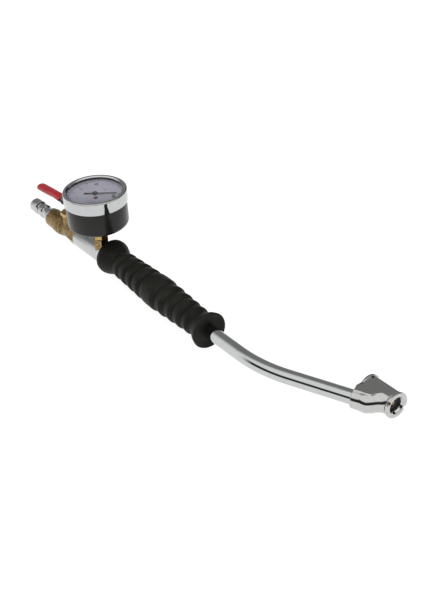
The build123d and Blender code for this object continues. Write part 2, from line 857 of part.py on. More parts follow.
with BuildPart() as pointer:
    needle_plane = Plane(
        origin=(gauge_x, 0, pointer_z),
        x_dir=(cos(radians(needle_angle)), sin(radians(needle_angle)), 0),
        z_dir=(0, 0, 1),
    )
    with BuildSketch(needle_plane):
        with BuildLine():
            Polyline(
                (needle_long, 0.15),
                (needle_long, -0.15),
                (2.0, -0.5),
                (-needle_tail, -1.0),
                (-needle_tail, 1.0),
                (2.0, 0.5),
                close=True,
            )
        make_face()
        Circle(2.2)
        Circle(arbor_r + clear, mode=Mode.SUBTRACT)
    extrude(amount=0.5)
    with BuildSketch(needle_plane.offset(0.5)):
        Circle(1.5)
        Circle(arbor_r + clear, mode=Mode.SUBTRACT)
    extrude(amount=0.6)
save("pointer", pointer)

# --- bent tube ----------------------------------------------------------------------------------
bend_end_x = bend_x + bend_r * sin(radians(bend_turn))
bend_end_y = bend_r * (1 - cos(radians(bend_turn)))
tube_way = Vector(cos(radians(bend_turn)), sin(radians(bend_turn)), 0)
socket_y = bend_end_y + (socket_x - bend_end_x) * tan(radians(bend_turn))
socket_rim = Vector(socket_x, socket_y, 0)
socket_deep = 7.0
tube_wall = 1.4

with BuildPart() as bent_tube:
    with BuildLine() as tube_line:
        straight = Line((tube_start_x, 0, 0), (bend_x, 0, 0))
        bend = TangentArc((bend_x, 0, 0), (bend_end_x, bend_end_y, 0), tangent=(1, 0, 0))
        Line(bend @ 1, socket_rim + tube_way * socket_deep)
    with BuildSketch(across(tube_start_x)):
        Circle(tube_r)
        Circle(tube_r - tube_wall, mode=Mode.SUBTRACT)
    sweep()
save("bent_tube", bent_tube)

# --- rubber grip --------------------------------------------------------------------------------
# The grip is turned about its own axis, which meets the air line near the grip's front end.
grip_run = Vector(grip_front_x, 0, 0) - Vector(grip_rear_x, grip_rear_side, grip_rear_rise)
grip_side = Plane(
    origin=(grip_rear_x, grip_rear_side, grip_rear_rise),
    x_dir=grip_run,
    z_dir=grip_run.cross(Vector(0, 0, 1)),
)
grip_axis = Axis((grip_rear_x, grip_rear_side, grip_rear_rise), grip_run)
rear_face = 4.3         # stations along the grip's axis, from its datum
rear_lip_r = 13.0
front_rim = 137.3
front_face = 138.5
boss_face = 135.8       # the boss round the tube, at the bottom of the front dish
boss_r = 6.6
# Each finger ring climbs from a groove to a crest and drops steeply to the next groove:
# station and radius of the groove, station and radius of the crest.
finger_rings = (
    (20.5, 9.5, 25.8, 10.9),
    (29.5, 9.9, 36.3, 11.4),
    (39.7, 10.3, 46.2, 11.9),
    (50.0, 10.9, 56.7, 12.4),
    (61.2, 11.2, 76.5, 13.0),
    (82.2, 11.2, 87.7, 12.5),
    (93.7, 10.7, 98.8, 11.9),
    (104.1, 10.2, 109.5, 11.4),
    (114.1, 9.6, 119.4, 10.9),
)
last_groove = (124.0, 9.1)
hill = ((66.8, 12.8), (71.0, 13.0))     # the fattest part of the grip, in its middle ring
crest_long = 2.0        # level part of a ring past its crest

with BuildPart() as handle_grip:
    with BuildSketch(grip_side):
        with BuildLine():
            rear_edge = (rear_face + 0.9, flange_r - 0.2)
            Polyline((rear_face, 0), (rear_face, rear_lip_r), rear_edge)
            Spline(rear_edge, (7.3, flange_r), (10.3, 13.6), (14.0, 12.0), (17.5, 10.2), (20.5, 9.5))
            grooves = [ring[:2] for ring in finger_rings] + [last_groove]
            for index, (low_s, low_r, high_s, high_r) in enumerate(finger_rings):
                next_s, next_r = grooves[index + 1]
                slope = (((low_s + high_s) / 2, (low_r + high_r) / 2 + 0.25),)
                if high_s - low_s > 10:
                    slope = hill
                Spline((low_s, low_r), *slope, (high_s, high_r))
                Polyline((high_s, high_r), (high_s + crest_long, high_r), (next_s, next_r))
            Spline(last_groove, (127.5, 9.7), (130.5, 11.2), (133.0, 12.9), (front_rim, flange_r))
            Polyline(
                (front_rim, flange_r),
                (front_face, flange_r - 1.0),
                (boss_face + 0.8, 9.4),
                (boss_face, boss_r),
                (boss_face, 0),
                (rear_face, 0),
            )
        make_face()
    revolve(axis=grip_axis)
    with BuildSketch(across(grip_rear_x - 5)):
        Circle(body_tube_r)
    extrude(amount=body_tube_end_x + 5 - grip_rear_x, mode=Mode.SUBTRACT)
    with BuildSketch(across(grip_rear_x - 5)):
        Circle(tube_r)
    extrude(amount=grip_front_x + 10 - grip_rear_x, mode=Mode.SUBTRACT)
save("handle_grip", handle_grip)

# --- chuck head ---------------------------------------------------------------------------------
# The foot is the same at both ends, so its pieces are drawn once about the middle of the foot and
# turned half round for the rear end.
foot_mid = (foot_low_x + foot_high_x) / 2
foot_half = (foot_high_x - foot_low_x) / 2
wall_half = 0.6         # wall between the two ends
room_r = 3.3            # room of the depressor's collar and spring
room_end = 6.9
seal_r = 6.9
seal_end = 9.9
thread_end = 11.5
seal_hole_r = 2.1
mouth_chamfer = 0.6
notch_wide = 2.2
notch_deep = 1.6
foot_axis = Axis((foot_mid, foot_y, 0), (1, 0, 0))


def foot_side(turn):
    """The upright plane through the foot's axis; its x runs outward to the end that turn gives."""
    return Plane(origin=(foot_mid, foot_y, 0), x_dir=(turn, 0, 0), z_dir=(0, -turn, 0))


def foot_across(turn, station):
    """The plane square to the foot at a station counted outward from its middle."""
    return Plane(origin=(foot_mid + turn * station, foot_y, 0), x_dir=(0, turn, 0), z_dir=(turn, 0, 0))


socket_plane = Plane(origin=socket_rim, x_dir=(0, 0, 1), z_dir=tube_way)
groove_r = 7.9
head_half = foot_half - 2.0
socket_reach = 12.0
elbow_r = 7.6           # the round shoulder between socket and foot
elbow_low = Vector(socket_x + 8.8, socket_y + 3.5, 0)
elbow_high = Vector(foot_mid + 4.0, foot_y - 2.0, 0)

with BuildPart() as chuck_head:
    with BuildSketch(foot_across(1, -head_half)):
        Circle(foot_r)
    extrude(amount=2 * head_half)
    with BuildSketch(socket_plane):
        Circle(socket_r)
    extrude(amount=socket_reach)
    with Locations(elbow_low):
        Sphere(elbow_r)
    with BuildSketch(Plane(origin=elbow_low, z_dir=elbow_high - elbow_low)):
        Circle(elbow_r)
    extrude(amount=(elbow_high - elbow_low).length)
    with BuildSketch(Plane.XY.offset(-web_half)):
        with BuildLine():
            Polyline(
                (socket_x + 1.4, socket_y - 0.9),
                (socket_x + 12.6, socket_y + 3.9),
                (foot_high_x - 9.4, foot_y - 5.0),
                (foot_high_x - 4.0, foot_y),
                (foot_low_x + 4.0, foot_y),
                (socket_x - 1.4, foot_y - 5.0),
                (socket_x - 1.6, socket_y + 3.6),
                close=True,
            )
        make_face()
    extrude(amount=2 * web_half)
    with BuildSketch(Plane.XY.offset(-web_half)):
        with Locations((foot_mid, foot_y - foot_r)):
            Rectangle(6 * foot_r, 6 * foot_r)
    extrude(amount=2 * web_half, mode=Mode.INTERSECT)
    for turn in (1, -1):
        with BuildSketch(foot_across(turn, head_half)):
            Circle(ring_r + 4)
            Circle(groove_r, mode=Mode.SUBTRACT)
        extrude(amount=-1.0, mode=Mode.SUBTRACT)
        with BuildSketch(foot_across(turn, head_half)):
            Circle(ring_r + 0.3)
        extrude(amount=5.0, mode=Mode.SUBTRACT)
        with BuildSketch(foot_across(turn, room_end)):
            Circle(seal_r + clear)
        extrude(amount=head_half, mode=Mode.SUBTRACT)
        with BuildSketch(foot_across(turn, wall_half)):
            Circle(room_r)
        extrude(amount=room_end, mode=Mode.SUBTRACT)
    with BuildSketch(socket_plane.offset(-socket_deep)):
        Circle(tube_r)
    extrude(amount=2 * socket_deep, mode=Mode.SUBTRACT)
    with BuildSketch(socket_plane):
        Circle(2.4)
    extrude(amount=14.0, mode=Mode.SUBTRACT)
    for turn in (1, -1):
        port_plane = Plane(
            origin=(foot_mid + turn * 2.4, foot_y, 0), x_dir=(1, 0, 0), z_dir=(0, -1, 0)
        )
        with BuildSketch(port_plane):
            Circle(1.1)
        extrude(amount=10.0, mode=Mode.SUBTRACT)
save("chuck_head", chuck_head)

collar_low = room_end - 1.05
collar_high = room_end - 0.05
pin_r = 1.5
pin_end = 13.5 - 3.7
spring_low = wall_half + 0.05
spring_wire = 0.22
spring_mid_r = 2.5
spring_coils = 4

for end_name, turn in (("front", 1), ("rear", -1)):
    with BuildPart() as retainer:
        section = profile(
            foot_side(turn),
            (seal_end + clear, mouth_r),
            (seal_end + clear, seal_r),
            (thread_end, seal_r),
            (thread_end, ring_r - 0.3),
            (thread_end + 0.3, ring_r),
            (foot_half - 0.5, ring_r),
            (foot_half, ring_r - 0.5),
            (foot_half, mouth_r + mouth_chamfer),
            (foot_half - mouth_chamfer, mouth_r),
        )
        revolve(section, axis=foot_axis)
        with BuildSketch(foot_across(turn, foot_half)):
            with PolarLocations(ring_r - 0.4, 2, start_angle=-35):
                Rectangle(2.6, notch_wide)
        extrude(amount=-notch_deep, mode=Mode.SUBTRACT)
    save(f"{end_name}_retainer", retainer)

    with BuildPart() as seal:
        section = profile(
            foot_side(turn),
            (room_end, seal_hole_r),
            (room_end, seal_r),
            (seal_end, seal_r),
            (seal_end, seal_hole_r + 0.5),
            (seal_end - 0.6, seal_hole_r),
        )
        revolve(section, axis=foot_axis)
    save(f"{end_name}_seal", seal)

    with BuildPart() as depressor:
        section = profile(
            foot_side(turn),
            (collar_low, 0),
            (collar_low, room_r - 0.25),
            (collar_high, room_r - 0.25),
            (collar_high, pin_r),
            (pin_end - 0.3, pin_r),
            (pin_end, pin_r - 0.3),
            (pin_end, 0.5),
            (pin_end - 1.6, 0.5),
            (pin_end - 1.6, 0),
        )
        revolve(section, axis=foot_axis)
    save(f"{end_name}_depressor", depressor)

    with BuildPart() as spring:
        coil_height = collar_low - spring_low - 4 * spring_wire
        with BuildLine() as coil_line:
            Helix(coil_height / spring_coils, coil_height, spring_mid_r)
        coil_start = Plane(origin=coil_line.line @ 0, z_dir=coil_line.line % 0)
        with BuildSketch(coil_start):
            Circle(spring_wire)
        sweep(path=coil_line.line, is_frenet=True)
    spring.part = foot_across(turn, spring_low + 2 * spring_wire) * spring.part
    save(f"{end_name}_spring", spring)
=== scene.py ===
"""A hand-held tyre inflator: plug, lever ball valve, round gauge, rubber grip, bent tube and chuck.

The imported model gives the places. Every shape here is worked out with numpy in millimetres, in the
model's frame, and written to its mesh in metres: +X along the air line, +Z along the gauge.
"""

import bmesh
import bpy
import numpy as np
from math import cos, pi, radians, sin, tan
from mathutils import Matrix, Vector


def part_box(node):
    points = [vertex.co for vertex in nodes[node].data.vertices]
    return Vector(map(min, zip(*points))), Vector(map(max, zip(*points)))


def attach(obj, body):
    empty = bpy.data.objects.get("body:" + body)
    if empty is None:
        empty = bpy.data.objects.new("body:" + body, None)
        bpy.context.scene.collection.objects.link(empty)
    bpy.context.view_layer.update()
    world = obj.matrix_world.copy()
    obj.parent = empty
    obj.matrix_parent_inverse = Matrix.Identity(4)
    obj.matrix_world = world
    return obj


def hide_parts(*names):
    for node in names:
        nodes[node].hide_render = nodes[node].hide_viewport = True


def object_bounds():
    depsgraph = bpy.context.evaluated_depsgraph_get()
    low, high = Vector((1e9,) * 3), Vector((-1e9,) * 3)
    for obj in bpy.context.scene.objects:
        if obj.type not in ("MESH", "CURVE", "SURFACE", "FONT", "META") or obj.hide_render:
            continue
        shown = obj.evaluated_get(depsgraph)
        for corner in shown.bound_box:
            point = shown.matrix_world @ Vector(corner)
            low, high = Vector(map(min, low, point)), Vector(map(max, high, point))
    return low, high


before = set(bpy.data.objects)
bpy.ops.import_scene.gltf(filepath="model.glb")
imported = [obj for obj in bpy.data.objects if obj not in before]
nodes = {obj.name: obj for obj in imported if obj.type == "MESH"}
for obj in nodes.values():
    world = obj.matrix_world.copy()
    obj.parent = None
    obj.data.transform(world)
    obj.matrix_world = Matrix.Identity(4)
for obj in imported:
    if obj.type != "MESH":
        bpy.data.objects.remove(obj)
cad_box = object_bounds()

MM = 0.001


def box_mm(node):
    """The lowest and highest corner of a CAD node, in millimetres."""
    low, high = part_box(node)
    return np.array(low) / MM, np.array(high) / MM


# --- places read from the frame -----------------------------------------------------------------
bezel_low, bezel_high = box_mm("gauge_bezel")
case_low, case_high = box_mm("gauge_case")
lens_low, lens_high = box_mm("gauge_lens")
dial_low, dial_high = box_mm("dial_plate")
body_low, body_high = box_mm("valve_body")
body_tube_low, body_tube_high = box_mm("body_tube")
front_ring_low, front_ring_high = box_mm("front_retainer")
rear_ring_low = box_mm("rear_retainer")[0]

gauge_x = (bezel_low[0] + bezel_high[0]) / 2
bezel_r = (bezel_high[0] - bezel_low[0]) / 2
case_r = (case_high[0] - case_low[0]) / 2
foot_y = (front_ring_low[1] + front_ring_high[1]) / 2
ring_r = (front_ring_high[1] - front_ring_low[1]) / 2
foot_mid = (rear_ring_low[0] + front_ring_high[0]) / 2
foot_half = (front_ring_high[0] - rear_ring_low[0]) / 2
foot_centre = np.array([foot_mid, foot_y, 0.0])
valve_x = 57.0
air_hole_r = 2.6        # the passage through body and body tube
tube_r = 5.25
spigot_end_x = 112.5    # the body tube's end, where the bent tube's starts
fit = 0.02              # gap between the grip and the tubes in it
body_tube_r = (body_tube_high[1] - body_tube_low[1]) / 2
bend_x = 286.5
bend_r = 112.0
bend_turn = radians(22.0)
socket_x = 372.7
window_r = 21.5
zero_angle = radians(50.3)
dial_sweep = radians(270)


# --- meshes from arrays -------------------------------------------------------------------------
def finish_mesh(name, points, faces, body, material, sharp=35.0):
    """Makes a piece from points in millimetres: merges poles and seams, turns faces outward."""
    mesh = bpy.data.meshes.new(name)
    mesh.from_pydata((np.asarray(points, float) * MM).tolist(), [], faces)
    work = bmesh.new()
    work.from_mesh(mesh)
    bmesh.ops.remove_doubles(work, verts=work.verts, dist=1e-7)
    bmesh.ops.recalc_face_normals(work, faces=work.faces)
    work.to_mesh(mesh)
    work.free()
    for polygon in mesh.polygons:
        polygon.use_smooth = True
    mesh.set_sharp_from_angle(angle=radians(sharp))
    piece = bpy.data.objects.new(name, mesh)
    bpy.context.scene.collection.objects.link(piece)
    mesh.materials.append(material)
    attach(piece, body)
    return piece


def grid_faces(rows, columns, closed_rows=True):
    """Quads of a grid that is closed along its columns, and along its rows if asked."""
    row = np.arange(rows if closed_rows else rows - 1)
    column = np.arange(columns)
    r, c = np.meshgrid(row, column, indexing="ij")
    r2, c2 = (r + 1) % rows, (c + 1) % columns
    corners = np.stack([r * columns + c, r * columns + c2, r2 * columns + c2, r2 * columns + c], -1)
    return corners.reshape(-1, 4).tolist()


def rounded(points, radii, steps=5):
    """A closed outline with round corners. Each corner becomes an arc of its radius that touches
    both sides: it starts and ends r / tan(half the corner's angle) from the corner."""
    points = np.asarray(points, float)
    radii = np.broadcast_to(np.asarray(radii, float), len(points))
    line = []
    for before, corner, after, radius in zip(
        np.roll(points, 1, 0), points, np.roll(points, -1, 0), radii
    ):
        u, w = before - corner, after - corner
        long_u, long_w = np.linalg.norm(u), np.linalg.norm(w)
        u, w = u / long_u, w / long_w
        angle = np.arccos(np.clip(u @ w, -1, 1))
        if radius <= 0 or angle > pi - 0.02:
            line.append(corner[None])
            continue
        reach = min(radius / tan(angle / 2), 0.49 * long_u, 0.49 * long_w)
        radius = reach * tan(angle / 2)
        middle = corner + (u + w) / np.linalg.norm(u + w) * radius / sin(angle / 2)
        start, end = corner + u * reach - middle, corner + w * reach - middle
        turn = pi - angle
        t = np.linspace(0, 1, steps + 1)[:, None]
        arc = (np.sin((1 - t) * turn) * start + np.sin(t * turn) * end) / sin(turn)
        line.append(middle + arc)
    return np.concatenate(line)


def turned_points(outline, origin, way, columns=96):
    """Spins (station, radius) rows about the axis through origin along way."""
    outline = np.asarray(outline, float)
    way = np.asarray(way, float) / np.linalg.norm(way)
    side = np.cross(way, [0.0, 0.0, 1.0])
    if np.linalg.norm(side) < 1e-6:
        side = np.array([1.0, 0.0, 0.0])
    side = side / np.linalg.norm(side)
    up = np.cross(side, way)
    angle = np.arange(columns) * 2 * pi / columns
    circle = np.cos(angle)[:, None] * side + np.sin(angle)[:, None] * up
    station, radius = outline[:, 0, None, None], outline[:, 1, None, None]
    return np.asarray(origin, float) + station * way + radius * circle


def turned(name, outline, origin, way, body, material, columns=96, radii=0.0, sharp=35.0):
    """A solid of revolution from a closed outline of (station, radius) points."""
    line = rounded(outline, radii) if np.any(np.asarray(radii) > 0) else np.asarray(outline, float)
    points = turned_points(line, origin, way, columns)
    faces = grid_faces(len(line), columns)
    return finish_mesh(name, points.reshape(-1, 3), faces, body, material, sharp)


def surface_net(field, low, high, step):
    """The level-0 surface of a distance field. The field is sampled on a lattice; every cell that
    the surface crosses gets one point, the mean of the crossings on its twelve edges, then drawn
    onto the surface along the field's slope; every crossed lattice edge gets the quad of the four
    cells round it."""
    axes = [np.arange(a, b + step, step) for a, b in zip(low, high)]
    grid = np.stack(np.meshgrid(*axes, indexing="ij"), -1)
    value = field(grid)
    cells = tuple(n - 1 for n in value.shape)
    total, count = np.zeros(cells + (3,)), np.zeros(cells)
    for axis in range(3):
        others = [a for a in range(3) if a != axis]
        for first in (0, 1):
            for second in (0, 1):
                start = [slice(0, n) for n in cells]
                start[others[0]] = slice(first, first + cells[others[0]])
                start[others[1]] = slice(second, second + cells[others[1]])
                stop = list(start)
                stop[axis] = slice(1, cells[axis] + 1)
                a, b = value[tuple(start)], value[tuple(stop)]
                crossed = (a < 0) != (b < 0)
                share = np.where(crossed, a / np.where(crossed, a - b, 1.0), 0.0)
                place = np.zeros(cells + (3,))
                place[..., axis] = share
                place[..., others[0]] = first
                place[..., others[1]] = second
                total += np.where(crossed[..., None], place, 0.0)
                count += crossed
    used = count > 0
    number = np.full(cells, -1)
    number[used] = np.arange(used.sum())
    base = np.stack(np.nonzero(used), -1)
    points = np.asarray(low) + (base + total[used] / count[used][:, None]) * step
    small = step * 0.02
    for _ in range(2):
        here = field(points)
        slope = np.stack(
            [(field(points + small * d) - field(points - small * d)) / (2 * small) for d in np.eye(3)],
            -1,
        )
        size = np.maximum((slope**2).sum(-1), 0.25)
        points = points - np.clip(here / size, -step / 2, step / 2)[:, None] * slope
    faces = []
    for axis in range(3):
        b, c = [(axis + 1) % 3, (axis + 2) % 3]
        inner = [slice(1, n) for n in cells]
        inner[axis] = slice(0, cells[axis])
        after = list(inner)
        after[axis] = slice(1, cells[axis] + 1)
        crossed = (value[tuple(inner)] < 0) != (value[tuple(after)] < 0)
        at = np.stack(np.nonzero(crossed), -1)
        at[:, b] += 1
        at[:, c] += 1
        around = []
        for db, dc in ((1, 1), (0, 1), (0, 0), (1, 0)):
            cell = at.copy()
            cell[:, b] -= db
            cell[:, c] -= dc
            around.append(number[tuple(cell.T)])
        faces.append(np.stack(around, -1))
    return points, np.concatenate(faces).tolist()


def rod(p, start, end, radius):
    """Distance to a flat-ended rod: the larger of the distance past its side and past its ends."""
    start, end = np.asarray(start, float), np.asarray(end, float)
    way = end - start
    length = np.linalg.norm(way)
    way = way / length
    along = (p - start) @ way
    off = np.sqrt(np.maximum(((p - start) ** 2).sum(-1) - along**2, 0))
    return np.maximum(off - radius, np.abs(along - length / 2) - length / 2)


def soft_min(a, b, width):
    """The smaller of two distances, with a fillet of about that width where they meet."""
    mix = np.clip(0.5 + 0.5 * (b - a) / width, 0, 1)
    return b + (a - b) * mix - width * mix * (1 - mix)


def soft_max(a, b, width):
    """The larger of two distances, with a rounded edge of about that width."""
    return -soft_min(-a, -b, width)


def netted(name, field, low, high, step, body, material, sharp=60.0):
    """A piece from a distance field."""
    points, faces = surface_net(field, low, high, step)
    return finish_mesh(name, points, faces, body, material, sharp)


# --- shader building ----------------------------------------------------------------------------
def add_node(tree, kind, **values):
    """A node with its properties set."""
    node = tree.nodes.new(kind)
    for key, value in values.items():
        setattr(node, key, value)
    return node


def make_group(name, inputs, outputs):
    """An empty shader group: inputs are (name, default), outputs are (name, socket type)."""
    tree = bpy.data.node_groups.new(name, "ShaderNodeTree")
    for title, default in inputs:
        socket = tree.interface.new_socket(title, in_out="INPUT", socket_type="NodeSocketFloat")
        socket.default_value = default
    for title, kind in outputs:
        tree.interface.new_socket(title, in_out="OUTPUT", socket_type=kind)
    return tree, tree.nodes.new("NodeGroupInput"), tree.nodes.new("NodeGroupOutput")


def noise_in(tree, scale_socket, detail, roughness, stretch=None):
    """A noise on object coordinates whose scale comes from a socket; stretch scales the axes."""
    place = add_node(tree, "ShaderNodeTexCoord")
    noise = add_node(tree, "ShaderNodeTexNoise")
    noise.inputs["Detail"].default_value = detail
    noise.inputs["Roughness"].default_value = roughness
    source = place.outputs["Object"]
    if stretch:
        mapping = add_node(tree, "ShaderNodeMapping")
        mapping.inputs["Scale"].default_value = stretch
        tree.links.new(source, mapping.inputs["Vector"])
        source = mapping.outputs["Vector"]
    tree.links.new(source, noise.inputs["Vector"])
    tree.links.new(scale_socket, noise.inputs["Scale"])
    return noise


def grain_group():
    """Fine relief: a coarse and a fine noise added as heights, and a mask of the coarse one."""
    tree, entry, leave = make_group(
        "surface_grain",
        (("Coarse Scale", 400.0), ("Fine Scale", 2500.0), ("Depth", 0.3), ("Distance", 0.0001)),
        (("Mask", "NodeSocketFloat"), ("Normal", "NodeSocketVector")),
    )
    coarse = noise_in(tree, entry.outputs["Coarse Scale"], 3.0, 0.55)
    fine = noise_in(tree, entry.outputs["Fine Scale"], 2.0, 0.6)
    both = add_node(tree, "ShaderNodeMath", operation="ADD")
    tree.links.new(coarse.outputs["Fac"], both.inputs[0])
    tree.links.new(fine.outputs["Fac"], both.inputs[1])
    bump = add_node(tree, "ShaderNodeBump")
    tree.links.new(both.outputs[0], bump.inputs["Height"])
    tree.links.new(entry.outputs["Depth"], bump.inputs["Strength"])
    tree.links.new(entry.outputs["Distance"], bump.inputs["Distance"])
    patches = add_node(tree, "ShaderNodeMapRange")
    patches.inputs["From Min"].default_value = 0.28
    patches.inputs["From Max"].default_value = 0.72
    tree.links.new(coarse.outputs["Fac"], patches.inputs["Value"])
    tree.links.new(patches.outputs["Result"], leave.inputs["Mask"])
    tree.links.new(bump.outputs["Normal"], leave.inputs["Normal"])
    return tree


def smudge_group():
    """Handling marks: broad cloudy noise, sharpened to patches, with fine streaks along X."""
    tree, entry, leave = make_group(
        "handling_marks",
        (("Scale", 60.0), ("Streak Scale", 300.0)),
        (("Mask", "NodeSocketFloat"), ("Streaks", "NodeSocketFloat")),
    )
    cloud = noise_in(tree, entry.outputs["Scale"], 5.0, 0.6)
    ramp = add_node(tree, "ShaderNodeMapRange")
    ramp.inputs["From Min"].default_value = 0.42
    ramp.inputs["From Max"].default_value = 0.68
    tree.links.new(cloud.outputs["Fac"], ramp.inputs["Value"])
    streak = noise_in(tree, entry.outputs["Streak Scale"], 4.0, 0.7, (0.08, 1.0, 1.0))
    tree.links.new(ramp.outputs["Result"], leave.inputs["Mask"])
    tree.links.new(streak.outputs["Fac"], leave.inputs["Streaks"])
    return tree


GRAIN = grain_group()
SMUDGE = smudge_group()


def new_material(name, **constants):
    """A material with a Principled shader whose constant sockets are set directly."""
    material = bpy.data.materials.new(name)
    material.use_nodes = True
    tree = material.node_tree
    shader = tree.nodes["Principled BSDF"]
    for key, value in constants.items():
        shader.inputs[key.replace("_", " ")].default_value = value
    return material, tree, shader


def place_group(tree, group, **values):
    """A group node with its own input values."""
    node = add_node(tree, "ShaderNodeGroup", node_tree=group)
    for key, value in values.items():
        node.inputs[key.replace("_", " ")].default_value = value
    return node


def vary(tree, mask, low, high, socket):
    """Feeds a socket a value that runs from low to high with the mask."""
    ramp = add_node(tree, "ShaderNodeMapRange")
    ramp.inputs["To Min"].default_value = low
    ramp.inputs["To Max"].default_value = high
    tree.links.new(mask, ramp.inputs["Value"])
    tree.links.new(ramp.outputs["Result"], socket)


def tint(tree, mask, first, second, socket):
    """Feeds a colour socket a mix of two colours that follows the mask."""
    mix = add_node(tree, "ShaderNodeMix", data_type="RGBA")
    mix.inputs["A"].default_value = (*first, 1.0)
    mix.inputs["B"].default_value = (*second, 1.0)
    tree.links.new(mask, mix.inputs["Factor"])
    tree.links.new(mix.outputs["Result"], socket)


def metal(name, first, second, rough_low, rough_high, coarse, fine, depth, distance):
    """A metal with two tones, smudged gloss and a fine relief."""
    material, tree, shader = new_material(name, Metallic=1.0)
    marks = place_group(tree, SMUDGE)
    grain = place_group(
        tree, GRAIN, Coarse_Scale=coarse, Fine_Scale=fine, Depth=depth, Distance=distance
    )
    tint(tree, grain.outputs["Mask"], first, second, shader.inputs["Base Color"])
    vary(tree, marks.outputs["Mask"], rough_low, rough_high, shader.inputs["Roughness"])
    tree.links.new(grain.outputs["Normal"], shader.inputs["Normal"])
    return material


def coated(name, first, second, rough_low, rough_high, coarse, fine, depth, distance, **constants):
    """Paint, plastic or rubber: two near tones, uneven gloss and a fine relief."""
    material, tree, shader = new_material(name, Metallic=0.0, **constants)
    marks = place_group(tree, SMUDGE)
    grain = place_group(
        tree, GRAIN, Coarse_Scale=coarse, Fine_Scale=fine, Depth=depth, Distance=distance
    )
    tint(tree, marks.outputs["Mask"], first, second, shader.inputs["Base Color"])
    vary(tree, grain.outputs["Mask"], rough_low, rough_high, shader.inputs["Roughness"])
    tree.links.new(grain.outputs["Normal"], shader.inputs["Normal"])
    return material


CHROME = metal(
    "polished_chrome", (0.49, 0.495, 0.50), (0.52, 0.525, 0.53), 0.04, 0.09, 250, 1800, 0.02, 2e-5
)
SATIN_CHROME = metal(
    "satin_chrome", (0.46, 0.46, 0.455), (0.53, 0.53, 0.52), 0.06, 0.13, 500, 2600, 0.08, 3e-5
)
# Dark cast brass. On the gauge boss its darker tone is partly painted shade, standing in for the shade
# and dark reflections under the gauge case.
CAST_BRASS_AND_BOSS_SHADE = metal(
    "cast_brass", (0.14, 0.09, 0.035), (0.38, 0.26, 0.12), 0.26, 0.42, 520, 1500, 0.7, 2.5e-4
)
TURNED_BRASS = metal(
    "turned_brass", (0.36, 0.24, 0.08), (0.56, 0.40, 0.16), 0.16, 0.30, 700, 2600, 0.12, 5e-5
)
BRONZE = metal("bronze", (0.55, 0.35, 0.20), (0.66, 0.44, 0.26), 0.28, 0.42, 500, 2600, 0.1, 4e-5)
ZINC = metal("zinc_plate", (0.50, 0.51, 0.53), (0.66, 0.66, 0.65), 0.24, 0.40, 450, 2200, 0.15, 5e-5)
DARK_ZINC = metal(
    "lever_steel", (0.10, 0.10, 0.10), (0.17, 0.165, 0.16), 0.24, 0.40, 450, 2200, 0.15, 5e-5
)
RED_VINYL = coated(
    "red_vinyl",
    (0.36, 0.008, 0.016),
    (0.30, 0.006, 0.012),
    0.22,
    0.34,
    260,
    1500,
    0.12,
    1e-4,
    Coat_Weight=0.35,
    Coat_Roughness=0.15,
)
BLACK_ENAMEL = coated(
    "black_enamel",
    (0.012, 0.012, 0.011),
    (0.018, 0.018, 0.016),
    0.16,
    0.24,
    220,
    1400,
    0.05,
    5e-5,
    IOR=1.33,
)
GRIP_RUBBER = coated(
    "grip_rubber",
    (0.008, 0.008, 0.0062),
    (0.014, 0.014, 0.0112),
    0.46,
    0.62,
    900,
    3800,
    0.35,
    1e-4,
    IOR=1.24,
)
SEAL_RUBBER = coated(
    "seal_rubber", (0.010, 0.010, 0.010), (0.016, 0.016, 0.016), 0.45, 0.6, 900, 3800, 0.3, 8e-5
)
SEAL_PLASTIC = coated(
    "seal_plastic", (0.80, 0.79, 0.76), (0.74, 0.73, 0.70), 0.35, 0.5, 700, 3000, 0.1, 5e-5
)
DIAL_PAINT = coated(
    "dial_paint", (0.60, 0.59, 0.66), (0.56, 0.55, 0.62), 0.45, 0.6, 700, 3000, 0.05, 3e-5
)
DIAL_INK = coated(
    "dial_ink", (0.06, 0.055, 0.07), (0.09, 0.08, 0.10), 0.5, 0.6, 700, 3000, 0.05, 3e-5
)
DIAL_MAROON = coated(
    "dial_maroon", (0.16, 0.05, 0.07), (0.22, 0.08, 0.10), 0.5, 0.6, 700, 3000, 0.05, 3e-5
)
NEEDLE_PAINT = coated(
    "needle_paint", (0.012, 0.012, 0.014), (0.02, 0.02, 0.022), 0.3, 0.45, 700, 3000, 0.08, 3e-5
)


def lens_glass():
    """Clear glass with a little haze of dust in its gloss."""
    material, tree, shader = new_material(
        "clear_glass", Metallic=0.0, Transmission_Weight=1.0, IOR=1.47
    )
    shader.inputs["Base Color"].default_value = (0.93, 0.93, 0.96, 1.0)
    marks = place_group(tree, SMUDGE, Scale=90.0)
    vary(tree, marks.outputs["Mask"], 0.0, 0.04, shader.inputs["Roughness"])
    return material


GLASS = lens_glass()

NODE_FINISH = {
    CHROME: ("valve_ball",),
    TURNED_BRASS: (
        "valve_stem", "gland_nut", "gauge_socket", "dial_posts", "back_plate",
        "front_plate", "plate_pillars", "sector_gear", "pinion_shaft", "tip_link", "bourdon_tip",
    ),
    # The gauge boss gets the dark cast brass partly as painted shade: darker than its own brass, for
    # the shade under the gauge case.
    CAST_BRASS_AND_BOSS_SHADE: ("valve_end_cap", "gauge_boss"),
    BRONZE: ("bourdon_tube", "hairspring"),
    ZINC: (
        "case_screws", "dial_screws", "plate_screws",
        "movement_screws", "front_spring", "rear_spring",
    ),
    DARK_ZINC: ("lever", "lever_washer", "lever_nut"),
    SEAL_PLASTIC: ("inlet_seat", "outlet_seat", "stem_packing"),
    SEAL_RUBBER: ("lens_gasket",),
}
for finish, names in NODE_FINISH.items():
    for node_name in names:
        node_mesh = nodes[node_name].data
        node_mesh.materials.clear()
        node_mesh.materials.append(finish)

ALONG = (1.0, 0.0, 0.0)
UPWARD = (0.0, 0.0, 1.0)
air_line = (0.0, 0.0, 0.0)
gauge_foot = (gauge_x, 0.0, 0.0)


